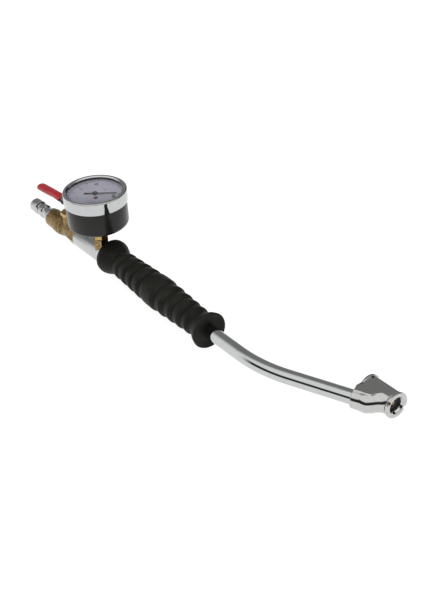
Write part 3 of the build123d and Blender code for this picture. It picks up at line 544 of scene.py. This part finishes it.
# --- inlet plug ---------------------------------------------------------------------------------
def make_inlet_plug():
    """The grooved nipple: a turned outline with small fillets at every shoulder."""
    outline = (
        (-0.8, 3.9), (-0.8, 5.2), (0.0, 6.0), (8.5, 6.0), (9.2, 4.5), (12.5, 4.5), (13.0, 5.9),
        (17.0, 5.9), (17.6, 4.7), (25.4, 4.7), (26.8, 6.9), (27.4, 7.5), (29.4, 7.5), (30.0, 6.9),
        (30.0, 4.8), (38.0, 4.8), (38.0, 3.0), (0.4, 3.0),
    )
    radii = (
        0.3, 0.3, 0.5, 0.3, 0.4, 0.4, 0.25, 0.25, 0.8, 1.0, 0.5, 0.5, 0.3, 0.2, 0, 0.2, 0, 0.3
    )
    piece = turned(
        "inlet_plug_turned", outline, air_line, ALONG, "frame", CHROME, 112, radii
    )
    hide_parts("inlet_plug")


# --- valve body ---------------------------------------------------------------------------------
def make_valve_body():
    """The cast body: a stepped barrel and the stem's tower, run together with fillets."""
    end_x, wide, slim, bulge = body_high[0], 8.0, 7.0, 8.5
    barrel_mid, waist_mid, bulge_mid = 40.6, 56.0, 44.5
    face_x = 29.99
    plug_bore, plug_bore_end, chamber_bore, chamber_start = 4.85, 38.5, 5.2, 51.4
    tower_r, tower_top = 5.0, body_high[2]
    ball_top, stem_bore, packing_bore, packing_z = 6.35, 2.05, 3.6, 11.0

    def field(p):
        x, y, z = p[..., 0], p[..., 1], p[..., 2]
        off = np.sqrt(y**2 + z**2)
        barrel = np.maximum(off - wide, np.abs(x - barrel_mid) - 10.6)
        waist = np.maximum(off - slim, np.abs(x - waist_mid) - (end_x - waist_mid))
        swell = np.maximum(off - bulge, np.abs(x - bulge_mid) - 2.6)
        shape = soft_min(soft_min(barrel, waist, 1.0), swell, 1.2)
        tower = rod(p, (valve_x, 0, 2.0), (valve_x, 0, tower_top), tower_r)
        shape = soft_max(soft_min(shape, tower, 2.0), face_x - x, 0.8)
        shape = np.maximum(shape, x - end_x)
        bores = (
            ((20, 0, 0), (plug_bore_end, 0, 0), plug_bore),
            ((20, 0, 0), (60, 0, 0), air_hole_r),
            ((chamber_start, 0, 0), (80, 0, 0), chamber_bore),
            ((valve_x, 0, 0), (valve_x, 0, ball_top), 2.95),
            ((valve_x, 0, 0), (valve_x, 0, 30), stem_bore),
            ((valve_x, 0, packing_z), (valve_x, 0, 30), packing_bore),
        )
        for start, end, radius in bores:
            shape = np.maximum(shape, -rod(p, start, end, radius))
        return shape

    piece = netted(
        "valve_body_cast", field, body_low - 0.6, body_high + 0.6, 0.3, "frame",
        CAST_BRASS_AND_BOSS_SHADE,
    )
    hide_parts("valve_body")


# --- lever sleeve -------------------------------------------------------------------------------
def make_lever_sleeve():
    """The dipped sleeve: an oval section carried along the lever's bent line. Its width and
    thickness shrink to a dome at the tip and are nearly full at the mouth, where the lip rolls in."""
    turn = radians(6.0)     # the lever's skew from the air line
    tip_long, lip_long = 4.2, 0.8
    wide, thick, columns = 4.25, 2.58, 48
    way = np.array([-cos(turn), -sin(turn), 0.0])
    side = np.array([-sin(turn), cos(turn), 0.0])
    up = np.array([0.0, 0.0, 1.0])
    line = rounded([(5.0, 27.1), (11.6, 28.0), (37.2, 28.0)], [0, 30.0, 0], 12)
    reach = np.concatenate([[0], np.cumsum(np.linalg.norm(np.diff(line, axis=0), axis=1))])
    total = reach[-1]
    at = np.concatenate([
        np.linspace(0, lip_long, 6)[:-1],
        np.linspace(lip_long, total - tip_long, 46)[:-1],
        total - tip_long * np.cos(np.linspace(0, pi / 2, 18)),
    ])
    u = np.interp(at, reach, line[:, 0])
    z = np.interp(at, reach, line[:, 1])
    slope = np.arctan2(np.gradient(z, at), np.gradient(u, at))
    past = np.clip(at - (total - tip_long), 0, None) / tip_long
    dome = np.sqrt(np.clip(1 - past**2, 0, 1))
    lip = 1 - 0.12 * np.clip(1 - at / lip_long, 0, 1) ** 2
    half_wide = wide * lip * dome * (1 - 0.08 * np.exp(-((at - 9.0) / 5.0) ** 2))
    half_thick = thick * lip * dome**0.8
    angle = np.arange(columns) * 2 * pi / columns
    round_c = np.sign(np.cos(angle)) * np.abs(np.cos(angle)) ** 0.85
    round_s = np.sign(np.sin(angle)) * np.abs(np.sin(angle)) ** 0.95
    centre = np.array([valve_x, 0, 0]) + u[:, None] * way + z[:, None] * up
    normal = -np.sin(slope)[:, None] * way + np.cos(slope)[:, None] * up
    points = (
        centre[:, None]
        + (half_wide[:, None] * round_c)[..., None] * side
        + (half_thick[:, None] * round_s)[..., None] * normal[:, None]
    )
    rows = np.concatenate([points[:1] * 0 + centre[0], points])
    faces = grid_faces(len(rows), columns, closed_rows=False)
    piece = finish_mesh(
        "lever_sleeve_dipped", rows.reshape(-1, 3), faces, "valve_lever", RED_VINYL
    )
    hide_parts("lever_sleeve")


# --- body tube ----------------------------------------------------------------------------------
def make_body_tube():
    """The plain tube between valve and grip, with its spigot, as one turned outline."""
    low_x, high_x, shoulder_x, spigot_r = body_tube_low[0], body_tube_high[0], 74.0, 6.0
    r = body_tube_r
    outline = (
        (low_x, air_hole_r), (low_x, spigot_r), (shoulder_x, spigot_r), (shoulder_x, r),
        (high_x, r), (high_x, tube_r), (spigot_end_x, tube_r), (spigot_end_x, air_hole_r),
    )
    piece = turned(
        "body_tube_turned", outline, air_line, ALONG, "frame", CHROME, 128,
        (0, 0.2, 0, 0.5, 0.4, 0, 0, 0),
    )
    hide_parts("body_tube")


# --- gauge --------------------------------------------------------------------------------------
def make_gauge_case():
    """The drawn steel cup: its wall follows its outside one wall thickness in."""
    low_z, high_z, wall, hole_r = case_low[2], case_high[2], 1.0, 5.05
    outline = (
        (low_z, hole_r), (low_z, case_r), (high_z, case_r), (high_z, case_r - wall),
        (low_z + wall, case_r - wall), (low_z + wall, hole_r),
    )
    piece = turned(
        "gauge_case_drawn", outline, gauge_foot, UPWARD, "frame", BLACK_ENAMEL,
        160, (0.1, 3.5, 0.2, 0.2, 2.5, 0.1),
    )
    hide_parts("gauge_case")


def make_gauge_bezel():
    """The rolled ring: a tall skirt, a soft shoulder, and a lip that falls inward to the lens."""
    low_z, high_z = bezel_low[2], bezel_high[2]
    outline = (
        (low_z, case_r + 0.05), (low_z, bezel_r), (high_z - 0.5, bezel_r), (high_z, bezel_r - 1.3),
        (high_z - 0.15, window_r + 1.0), (high_z - 1.0, window_r), (high_z - 1.4, window_r),
        (high_z - 1.4, case_r + 0.05),
    )
    piece = turned(
        "gauge_bezel_rolled", outline, gauge_foot, UPWARD, "frame", CHROME, 192,
        (0.1, 0.5, 1.4, 0.8, 0.8, 0.3, 0, 0),
    )
    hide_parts("gauge_bezel")


def make_gauge_lens():
    """The lens: a disc with a ground edge."""
    low_z, high_z = lens_low[2], lens_high[2]
    r = (lens_high[0] - lens_low[0]) / 2
    outline = ((low_z, 0), (low_z, r), (high_z, r), (high_z, 0))
    piece = turned(
        "gauge_lens_ground", outline, gauge_foot, UPWARD, "frame", GLASS, 144,
        (0, 0.25, 0.25, 0),
    )
    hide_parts("gauge_lens")


def make_dial():
    """The dial: a thin stamped disc, and its print a little above it."""
    low_z, high_z = dial_low[2], dial_high[2]
    r = (dial_high[0] - dial_low[0]) / 2
    outline = ((low_z, 1.6), (low_z, r), (high_z, r), (high_z, 1.6))
    piece = turned(
        "dial_plate_stamped", outline, gauge_foot, UPWARD, "frame", DIAL_PAINT, 144,
        (0, 0.15, 0.15, 0),
    )
    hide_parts("dial_plate")
    print_z = high_z + 0.03
    print_scale(print_z)
    spot_centre = np.array([gauge_x + 4.4, -2.3, 0])
    print_ring("dial_spot", 0, 1.7, spot_centre, print_z, DIAL_MAROON, 48)
    up_angle = zero_angle - dial_sweep / 2
    for index in range(6):
        angle = zero_angle - dial_sweep * index / 5
        figure(str(2 * index), angle, 13.9, 3.0, up_angle, print_z)
    figure("bar", up_angle + pi, 9.0, 2.4, up_angle, print_z)


def print_ring(name, inner, outer, centre, print_z, material, columns):
    """A flat printed ring, or a spot if its inner radius is 0."""
    low_z = print_z - 0.02
    outline = ((low_z, inner), (low_z, outer), (print_z, outer), (print_z, inner))
    turned(name, outline, centre, UPWARD, "frame", material, columns)


def print_scale(print_z):
    """The scale: a thin ring, and 51 radial bars spread evenly over the sweep. Every fifth bar is
    longer and wider."""
    outer, points, faces = 19.8, [], []
    for index in range(51):
        angle = zero_angle - dial_sweep * index / 50
        inner, half = (16.6, 0.22) if index % 5 == 0 else (18.2, 0.11)
        out = np.array([cos(angle), sin(angle), 0.0])
        side = np.array([-sin(angle), cos(angle), 0.0])
        base = len(points)
        for z in (print_z - 0.02, print_z):
            for distance, sign in ((inner, -1), (outer, -1), (outer, 1), (inner, 1)):
                points.append(np.array([gauge_x, 0, z]) + out * distance + side * half * sign)
        corners = (
            (3, 2, 1, 0), (4, 5, 6, 7), (0, 1, 5, 4), (1, 2, 6, 5), (2, 3, 7, 6), (3, 0, 4, 7),
        )
        faces += [[base + corner for corner in face] for face in corners]
    finish_mesh("dial_scale_bars", points, faces, "frame", DIAL_INK)
    print_ring("dial_scale_ring", outer, outer + 0.3, gauge_foot, print_z, DIAL_INK, 144)


def figure(words, angle, distance, height, up_angle, z):
    """Printed figures centred at a polar place on the dial, upright towards up_angle."""
    curve = bpy.data.curves.new("figure", "FONT")
    curve.body = words
    curve.size = height * MM
    curve.align_x = "CENTER"
    curve.align_y = "CENTER"
    curve.extrude = 0.01 * MM
    holder = bpy.data.objects.new("figure", curve)
    bpy.context.scene.collection.objects.link(holder)
    bpy.context.view_layer.update()
    mesh = bpy.data.meshes.new_from_object(holder.evaluated_get(bpy.context.evaluated_depsgraph_get()))
    bpy.data.objects.remove(holder)
    place = Matrix.Translation(
        ((gauge_x + distance * cos(angle)) * MM, distance * sin(angle) * MM, (z - 0.01) * MM)
    )
    mesh.transform(place @ Matrix.Rotation(up_angle - pi / 2, 4, "Z"))
    mesh.materials.clear()
    mesh.materials.append(DIAL_INK)
    piece = bpy.data.objects.new("dial_figure_" + words, mesh)
    bpy.context.scene.collection.objects.link(piece)
    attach(piece, "frame")


def make_pointer():
    """The pointer: a flat tapered needle with a broad counterweight, folded to a low ridge, and a
    domed hub."""
    low_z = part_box("pointer")[0][2] / MM
    along = np.array([-8.5, -8.3, -3.0, 0.0, 3.0, 16.2, 16.5])
    half = np.array([0.95, 1.05, 0.62, 0.75, 0.55, 0.2, 0.12])
    way = np.array([cos(zero_angle), sin(zero_angle), 0.0])
    side = np.array([-sin(zero_angle), cos(zero_angle), 0.0])
    section = np.array([(-1, 0.0), (-1, 0.25), (0, 0.5), (1, 0.25), (1, 0.0)])
    centre = np.array([gauge_x, 0, low_z])
    rows = (
        centre
        + along[:, None, None] * way
        + (half[:, None] * section[:, 0])[..., None] * side
        + section[:, 1][None, :, None] * np.array([0, 0, 1.0])
    )
    columns = len(section)
    first, last = [end.mean(1, keepdims=True).repeat(columns, 1) for end in (rows[:1], rows[-1:])]
    rows = np.concatenate([first, rows, last])
    faces = grid_faces(len(rows), columns, closed_rows=False)
    needle = finish_mesh(
        "pointer_needle", rows.reshape(-1, 3), faces, "needle", NEEDLE_PAINT, 20
    )
    under, top = low_z - 0.01, low_z + 1.1
    outline = ((under, 0), (under, 2.2), (low_z + 0.6, 2.2), (top, 1.2), (top, 0))
    turned(
        "pointer_hub", outline, gauge_foot, UPWARD, "needle", NEEDLE_PAINT, 64,
        (0, 0.1, 0.3, 0.4, 0),
    )
    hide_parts("pointer")


# --- rubber grip --------------------------------------------------------------------------------
GRIP_DATUM = np.array([113.0, 2.0, 1.7])
GRIP_END = np.array([258.0, 0.0, 0.0])
# Station and radius of each ring's groove, then of its crest.
FINGER_RINGS = (
    (20.5, 9.4, 27.8, 10.9),
    (29.5, 9.7, 38.2, 11.4),
    (39.7, 10.1, 48.3, 11.9),
    (50.0, 10.7, 58.9, 12.4),
    (61.2, 11.0, 78.8, 13.0),
    (82.2, 11.0, 90.2, 12.5),
    (93.7, 10.5, 101.3, 11.9),
    (104.1, 10.0, 111.5, 11.4),
    (114.1, 9.4, 121.3, 10.9),
)


def grip_outline():
    """The grip's outside from rear face to front dish: two bells and a row of finger rings. Every
    ring climbs from a narrow notch, bulging a little, to a round crest and drops steeply again.
    Three fine steps run round the rear bell's flank."""
    points = [
        (4.3, 8.3), (4.3, 13.0), (5.2, 13.9), (7.6, 14.08), (9.6, 13.75), (10.1, 13.3),
        (12.4, 12.75), (12.9, 12.3), (15.2, 11.6), (15.7, 11.15),
    ]
    radii = [0.1, 0.6, 0.8, 3.0, 0.35, 0.3, 0.35, 0.3, 0.35, 0.3]
    notch_deep = 0.8
    for low_s, low_r, high_s, high_r in FINGER_RINGS:
        points += [
            (low_s - 0.15, low_r), (low_s, low_r - notch_deep), (low_s + 0.35, low_r - notch_deep),
            (low_s + 0.45, low_r + 0.2),
        ]
        radii += [0.1, 0.05, 0.05, 0.15]
        if high_s - low_s > 10:
            points += [(65.8, 12.7), (70.0, 13.05), (75.0, 13.1)]
            radii += [8.0, 12.0, 12.0]
        else:
            points.append(((low_s + high_s) / 2, low_r * 0.3 + high_r * 0.7 + 0.15))
            radii.append(8.0)
        points.append((high_s, high_r + 0.1))
        radii.append(1.3)
    points += [
        (124.0, 9.0), (127.5, 9.7), (130.5, 11.2), (133.0, 12.9), (136.8, 14.08), (138.5, 13.2),
        (136.7, 9.4), (135.8, 6.6), (135.8, tube_r + fit),
    ]
    radii += [0.3, 6.0, 6.0, 5.0, 1.0, 0.7, 3.0, 0.5, 0]
    return rounded(points, radii, 6)


def make_handle_grip():
    """The grip as one closed skin: the outline spun about the grip's own axis, and the stepped
    bore spun about the air line."""
    run = GRIP_END - GRIP_DATUM
    way = run / np.linalg.norm(run)
    outline, columns = grip_outline(), 144
    skin = turned_points(outline, GRIP_DATUM, way, columns)
    rear_x, front_x = [GRIP_DATUM[0] + s * way[0] for s in (outline[0, 0], outline[-1, 0])]
    step_x = 121.0
    bore = np.array([
        (front_x, tube_r + fit), (step_x, tube_r + fit), (step_x, body_tube_r + fit),
        (rear_x, body_tube_r + fit),
    ])
    points = np.concatenate([skin, turned_points(bore, air_line, ALONG, columns)])
    faces = grid_faces(len(points), columns)
    piece = finish_mesh(
        "handle_grip_moulded", points.reshape(-1, 3), faces, "frame", GRIP_RUBBER, 40
    )
    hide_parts("handle_grip")


# --- bent tube ----------------------------------------------------------------------------------
def tube_way():
    """The direction of the tube past its bend."""
    return np.array([cos(bend_turn), sin(bend_turn), 0.0])


def socket_rim():
    """The centre of the chuck socket's rim: where the tube's second straight reaches socket_x."""
    end = np.array([bend_x + bend_r * sin(bend_turn), bend_r * (1 - cos(bend_turn)), 0.0])
    return end + tube_way() * (socket_x - end[0]) / cos(bend_turn)


def make_bent_tube():
    """The tube: a circle carried along a straight, an arc and a straight, outside and bore."""
    wall, columns, in_socket = 1.4, 96, 7.0
    turn = np.linspace(0, bend_turn, 60)
    arc = np.stack([bend_x + bend_r * np.sin(turn), bend_r * (1 - np.cos(turn)), 0 * turn], -1)
    line = np.concatenate([[[spigot_end_x, 0, 0]], arc, [socket_rim() + tube_way() * in_socket]])
    turn = np.concatenate([[0], turn, [bend_turn]])
    side = np.stack([-np.sin(turn), np.cos(turn), 0 * turn], -1)
    angle = np.arange(columns) * 2 * pi / columns
    up = np.array([0, 0, 1.0])

    def circle_rows(radius):
        return (
            line[:, None]
            + (radius * np.cos(angle))[None, :, None] * side[:, None]
            + (radius * np.sin(angle))[None, :, None] * up
        )

    rows = np.concatenate([circle_rows(tube_r), circle_rows(tube_r - wall)[::-1]])
    faces = grid_faces(len(rows), columns)
    piece = finish_mesh(
        "bent_tube_drawn", rows.reshape(-1, 3), faces, "frame", CHROME, 40
    )
    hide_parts("bent_tube")


# --- chuck --------------------------------------------------------------------------------------
def convex_prism(p, corners, half_height):
    """Distance to an upright prism over a convex outline given anticlockwise."""
    corners = np.asarray(corners, float)
    worst = np.abs(p[..., 2]) - half_height
    for a, b in zip(corners, np.roll(corners, -1, 0)):
        edge = (b - a) / np.linalg.norm(b - a)
        outward = np.array([edge[1], -edge[0]])
        worst = np.maximum(worst, (p[..., 0] - a[0]) * outward[0] + (p[..., 1] - a[1]) * outward[1])
    return worst


def capsule(p, start, end, radius):
    """Distance to a round-ended rod: the distance to its middle line less its radius."""
    start, end = np.asarray(start, float), np.asarray(end, float)
    way = end - start
    share = np.clip((p - start) @ way / (way @ way), 0, 1)
    return np.linalg.norm(p - start - share[..., None] * way, axis=-1) - radius


def make_chuck_head():
    """The cast head: socket, round shoulder and foot run together, with a flat web on top and
    below, soft edges, and a groove behind each ring."""
    rim, way = socket_rim(), tube_way()
    socket_r, shoulder_r, foot_r, flat_z = 7.3, 7.6, 8.6, 7.9
    groove_r, thread_r, thread_start, air_room_r, port_r = 7.9, 6.95, 6.9, 3.3, 1.1
    head_half = foot_half - 2.0
    out = np.array([1.0, 0, 0])
    knee = (rim[0] + 14.9, foot_y - 5.0)
    side = (foot_mid - 9.5, foot_y)
    web = (
        (rim[0] + 1.4, rim[1] - 0.9), (rim[0] + 12.6, rim[1] + 3.9), knee, side,
        (rim[0] - 1.4, foot_y - 5.0), (rim[0] - 1.6, rim[1] + 3.6),
    )
    gusset = (knee, (foot_mid + 9.5, foot_y), side)
    shoulder = (rim + np.array([8.8, 3.5, 0]), foot_centre + np.array([4.0, -2.0, 0]))

    def field(p):
        socket = soft_max(capsule(p, rim - way * 4, rim + way * 7.0, socket_r), -((p - rim) @ way), 0.5)
        foot = rod(p, foot_centre - out * head_half, foot_centre + out * head_half, foot_r)
        shape = soft_min(socket, capsule(p, shoulder[0], shoulder[1], shoulder_r), 1.0)
        shape = soft_min(shape, foot, 2.0)
        plate = np.minimum(convex_prism(p, web, flat_z), convex_prism(p, gusset, flat_z))
        shape = soft_max(soft_min(shape, plate, 1.2), np.abs(p[..., 2]) - flat_z, 0.35)
        along = p[..., 0] - foot_mid
        off = np.sqrt((p[..., 1] - foot_y) ** 2 + p[..., 2] ** 2)
        for turn in (1, -1):
            s = along * turn
            groove = np.maximum(np.maximum(groove_r - off, s - head_half), head_half - 1.0 - s)
            shape = soft_max(shape, -np.maximum(groove, off - 11.5), 0.3)
            shape = np.maximum(shape, -np.maximum(off - ring_r - 0.3, head_half - s))
            shape = np.maximum(shape, -np.maximum(off - thread_r, thread_start - s))
            shape = np.maximum(shape, -np.maximum(off - air_room_r, 0.6 - s))
        shape = np.maximum(shape, -rod(p, rim - way * 7.0, rim + way * 7.0, tube_r))
        shape = np.maximum(shape, -rod(p, rim, rim + way * 14.0, 2.4))
        for turn in (1, -1):
            port = foot_centre + out * 2.4 * turn
            shape = np.maximum(shape, -rod(p, port, port - np.array([0, 10.0, 0]), port_r))
        return shape

    low, high = box_mm("chuck_head")
    piece = netted(
        "chuck_head_cast", field, low - 0.6, high + 0.6, 0.28, "frame", SATIN_CHROME
    )
    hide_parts("chuck_head")


def make_chuck_end(end, turn):
    """One end of the foot: the notched ring by a distance field, and the turned seal and pin."""
    way = np.array([turn, 0.0, 0.0])
    notch_angle, notch_half, mouth_r = radians(-35), 1.1, 4.9
    across = np.array([0.0, turn, 0.0])
    up = np.cross(way, across)

    def field(p):
        s = (p[..., 0] - foot_mid) * turn
        a = (p - foot_centre) @ across
        b = (p - foot_centre) @ up
        off = np.sqrt(a**2 + b**2)
        flange = soft_max(off - ring_r, np.abs(s - (foot_half - 1.0)) - 1.0, 0.5)
        thread = np.maximum(off - 6.9, np.abs(s - 10.8) - 0.9)
        shape = np.minimum(flange, thread)
        for half_turn in (0, pi):
            angle = notch_angle + half_turn
            out_way = a * cos(angle) + b * sin(angle)
            side_way = -a * sin(angle) + b * cos(angle)
            notch = np.maximum(np.abs(side_way) - notch_half, 7.4 - out_way)
            shape = soft_max(shape, -np.maximum(notch, foot_half - 1.6 - s), 0.3)
        mouth = mouth_r + np.clip(s - (foot_half - 1.6), 0, None) * 0.95
        return soft_max(shape, mouth - off, 0.25)

    low, high = box_mm(end + "_retainer")
    ring = netted(
        end + "_retainer_notched", field, low - 0.5, high + 0.5, 0.2, "frame",
        SATIN_CHROME,
    )
    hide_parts(end + "_retainer")
    seal = turned(
        end + "_seal_moulded",
        ((6.9, 2.1), (6.9, 6.9), (9.9, 6.9), (9.9, 2.7), (9.3, 2.1)),
        foot_centre, way, "frame", SEAL_RUBBER, 72, (0.2, 0.2, 0.2, 0.3, 0.3),
    )
    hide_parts(end + "_seal")
    pin = turned(
        end + "_depressor_turned",
        (
            (5.85, 0), (5.85, 3.05), (6.85, 3.05), (6.85, 1.5), (9.8, 1.5), (9.8, 0.5), (8.2, 0.5),
            (8.2, 0),
        ),
        foot_centre, way, end + "_pin", TURNED_BRASS, 64,
        (0, 0.15, 0.15, 0.1, 0.3, 0.1, 0, 0),
    )
    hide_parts(end + "_depressor")


make_inlet_plug()
make_valve_body()
make_lever_sleeve()
make_body_tube()
make_gauge_case()
make_gauge_bezel()
make_gauge_lens()
make_dial()
make_pointer()
make_handle_grip()
make_bent_tube()
make_chuck_head()
make_chuck_end("front", 1)
make_chuck_end("rear", -1)


# --- floor, light and camera --------------------------------------------------------------------
def make_floor(level):
    """A wide pale floor: a disc of rings that widen outward, just under the tool."""
    ring = np.linspace(0, 1, 24) ** 2 * 3.2
    angle = np.arange(64) * 2 * pi / 64
    flat = np.stack([np.cos(angle), np.sin(angle), 0 * angle], -1)
    points = np.array([gauge_x * MM + 0.1, 0, level]) + ring[:, None, None] * flat
    mesh = bpy.data.meshes.new("floor")
    mesh.from_pydata(points.reshape(-1, 3).tolist(), [], grid_faces(len(ring), 64, False))
    floor = bpy.data.objects.new("floor", mesh)
    bpy.context.scene.collection.objects.link(floor)
    material, tree, shader = new_material(
        "pale_floor", Roughness=0.9, Specular_IOR_Level=0.1, Emission_Strength=0.9
    )
    shader.inputs["Base Color"].default_value = (0.22, 0.22, 0.22, 1)
    shader.inputs["Emission Color"].default_value = (1, 1, 1, 1)
    mesh.materials.append(material)


def make_world():
    """Studio surroundings: bright on the open side, greyer towards the back, dark at the skyline.
    Seen directly they are plain white."""
    world = bpy.data.worlds.new("studio")
    bpy.context.scene.world = world
    world.use_nodes = True
    tree = world.node_tree
    background = tree.nodes["Background"]
    background.inputs["Color"].default_value = (1.0, 1.0, 1.0, 1.0)
    way = add_node(tree, "ShaderNodeTexCoord")
    split = add_node(tree, "ShaderNodeSeparateXYZ")
    tree.links.new(way.outputs["Generated"], split.inputs[0])
    slant = add_node(tree, "ShaderNodeMath", operation="SUBTRACT")
    tree.links.new(split.outputs["X"], slant.inputs[0])
    tree.links.new(split.outputs["Y"], slant.inputs[1])
    sky = band(tree, slant.outputs[0], -0.62, 0.02, 0.28, 1.15)
    low_sky = band(tree, split.outputs["Z"], 0.40, 0.56, 0.03, 1.0)
    open_side = band(tree, split.outputs["X"], -0.62, -0.42, 1.0, 0.0)
    keep = add_node(tree, "ShaderNodeMath", operation="MAXIMUM")
    tree.links.new(low_sky, keep.inputs[0])
    tree.links.new(open_side, keep.inputs[1])
    both = add_node(tree, "ShaderNodeMath", operation="MULTIPLY")
    tree.links.new(sky, both.inputs[0])
    tree.links.new(keep.outputs[0], both.inputs[1])
    ray = add_node(tree, "ShaderNodeLightPath")
    seen = add_node(tree, "ShaderNodeMath", operation="MAXIMUM")
    tree.links.new(both.outputs[0], seen.inputs[0])
    tree.links.new(ray.outputs["Is Camera Ray"], seen.inputs[1])
    tree.links.new(seen.outputs[0], background.inputs["Strength"])


def band(tree, socket, start, end, first, last):
    """A soft step: first before start, last after end."""
    step = add_node(tree, "ShaderNodeMapRange", interpolation_type="SMOOTHSTEP")
    step.inputs["From Min"].default_value = start
    step.inputs["From Max"].default_value = end
    step.inputs["To Min"].default_value = first
    step.inputs["To Max"].default_value = last
    tree.links.new(socket, step.inputs["Value"])
    return step.outputs["Result"]


def make_light(name, place, target, size, power):
    """A square soft light at a place in metres, turned towards a target."""
    lamp = bpy.data.lights.new(name, "AREA")
    lamp.shape = "SQUARE"
    lamp.size = size
    lamp.energy = power
    holder = bpy.data.objects.new(name, lamp)
    bpy.context.scene.collection.objects.link(holder)
    holder.visible_glossy = False
    holder.location = place
    holder.rotation_euler = (Vector(target) - Vector(place)).to_track_quat("-Z", "Y").to_euler()


def make_camera():
    """A long lens above the chuck end, looking back along the tool."""
    back = Vector((0.6864, -0.46974, 0.55516)).normalized()
    up = Vector((-0.41579, 0.37282, 0.82953)).normalized()
    right = up.cross(back).normalized()
    up = back.cross(right)
    lens = bpy.data.cameras.new("camera")
    lens.lens = 68.65
    lens.sensor_width = 36.0
    camera = bpy.data.objects.new("camera", lens)
    bpy.context.scene.collection.objects.link(camera)
    turn = Matrix((right, up, back)).transposed().to_4x4()
    place = Vector((gauge_x * MM + 0.692662, -0.372408, 0.469732))
    camera.matrix_world = Matrix.Translation(place) @ turn
    bpy.context.scene.camera = camera


middle = (0.2, 0.0, 0.0)
make_floor(cad_box[0][2] - 0.0002)
make_world()
make_light("top_softbox", (0.25, 0.1, 1.5), middle, 1.4, 9.0)
make_light("front_softbox", (0.9, -1.3, 1.0), middle, 1.0, 5.0)
make_camera()
scene = bpy.context.scene
scene.view_settings.view_transform = "Standard"
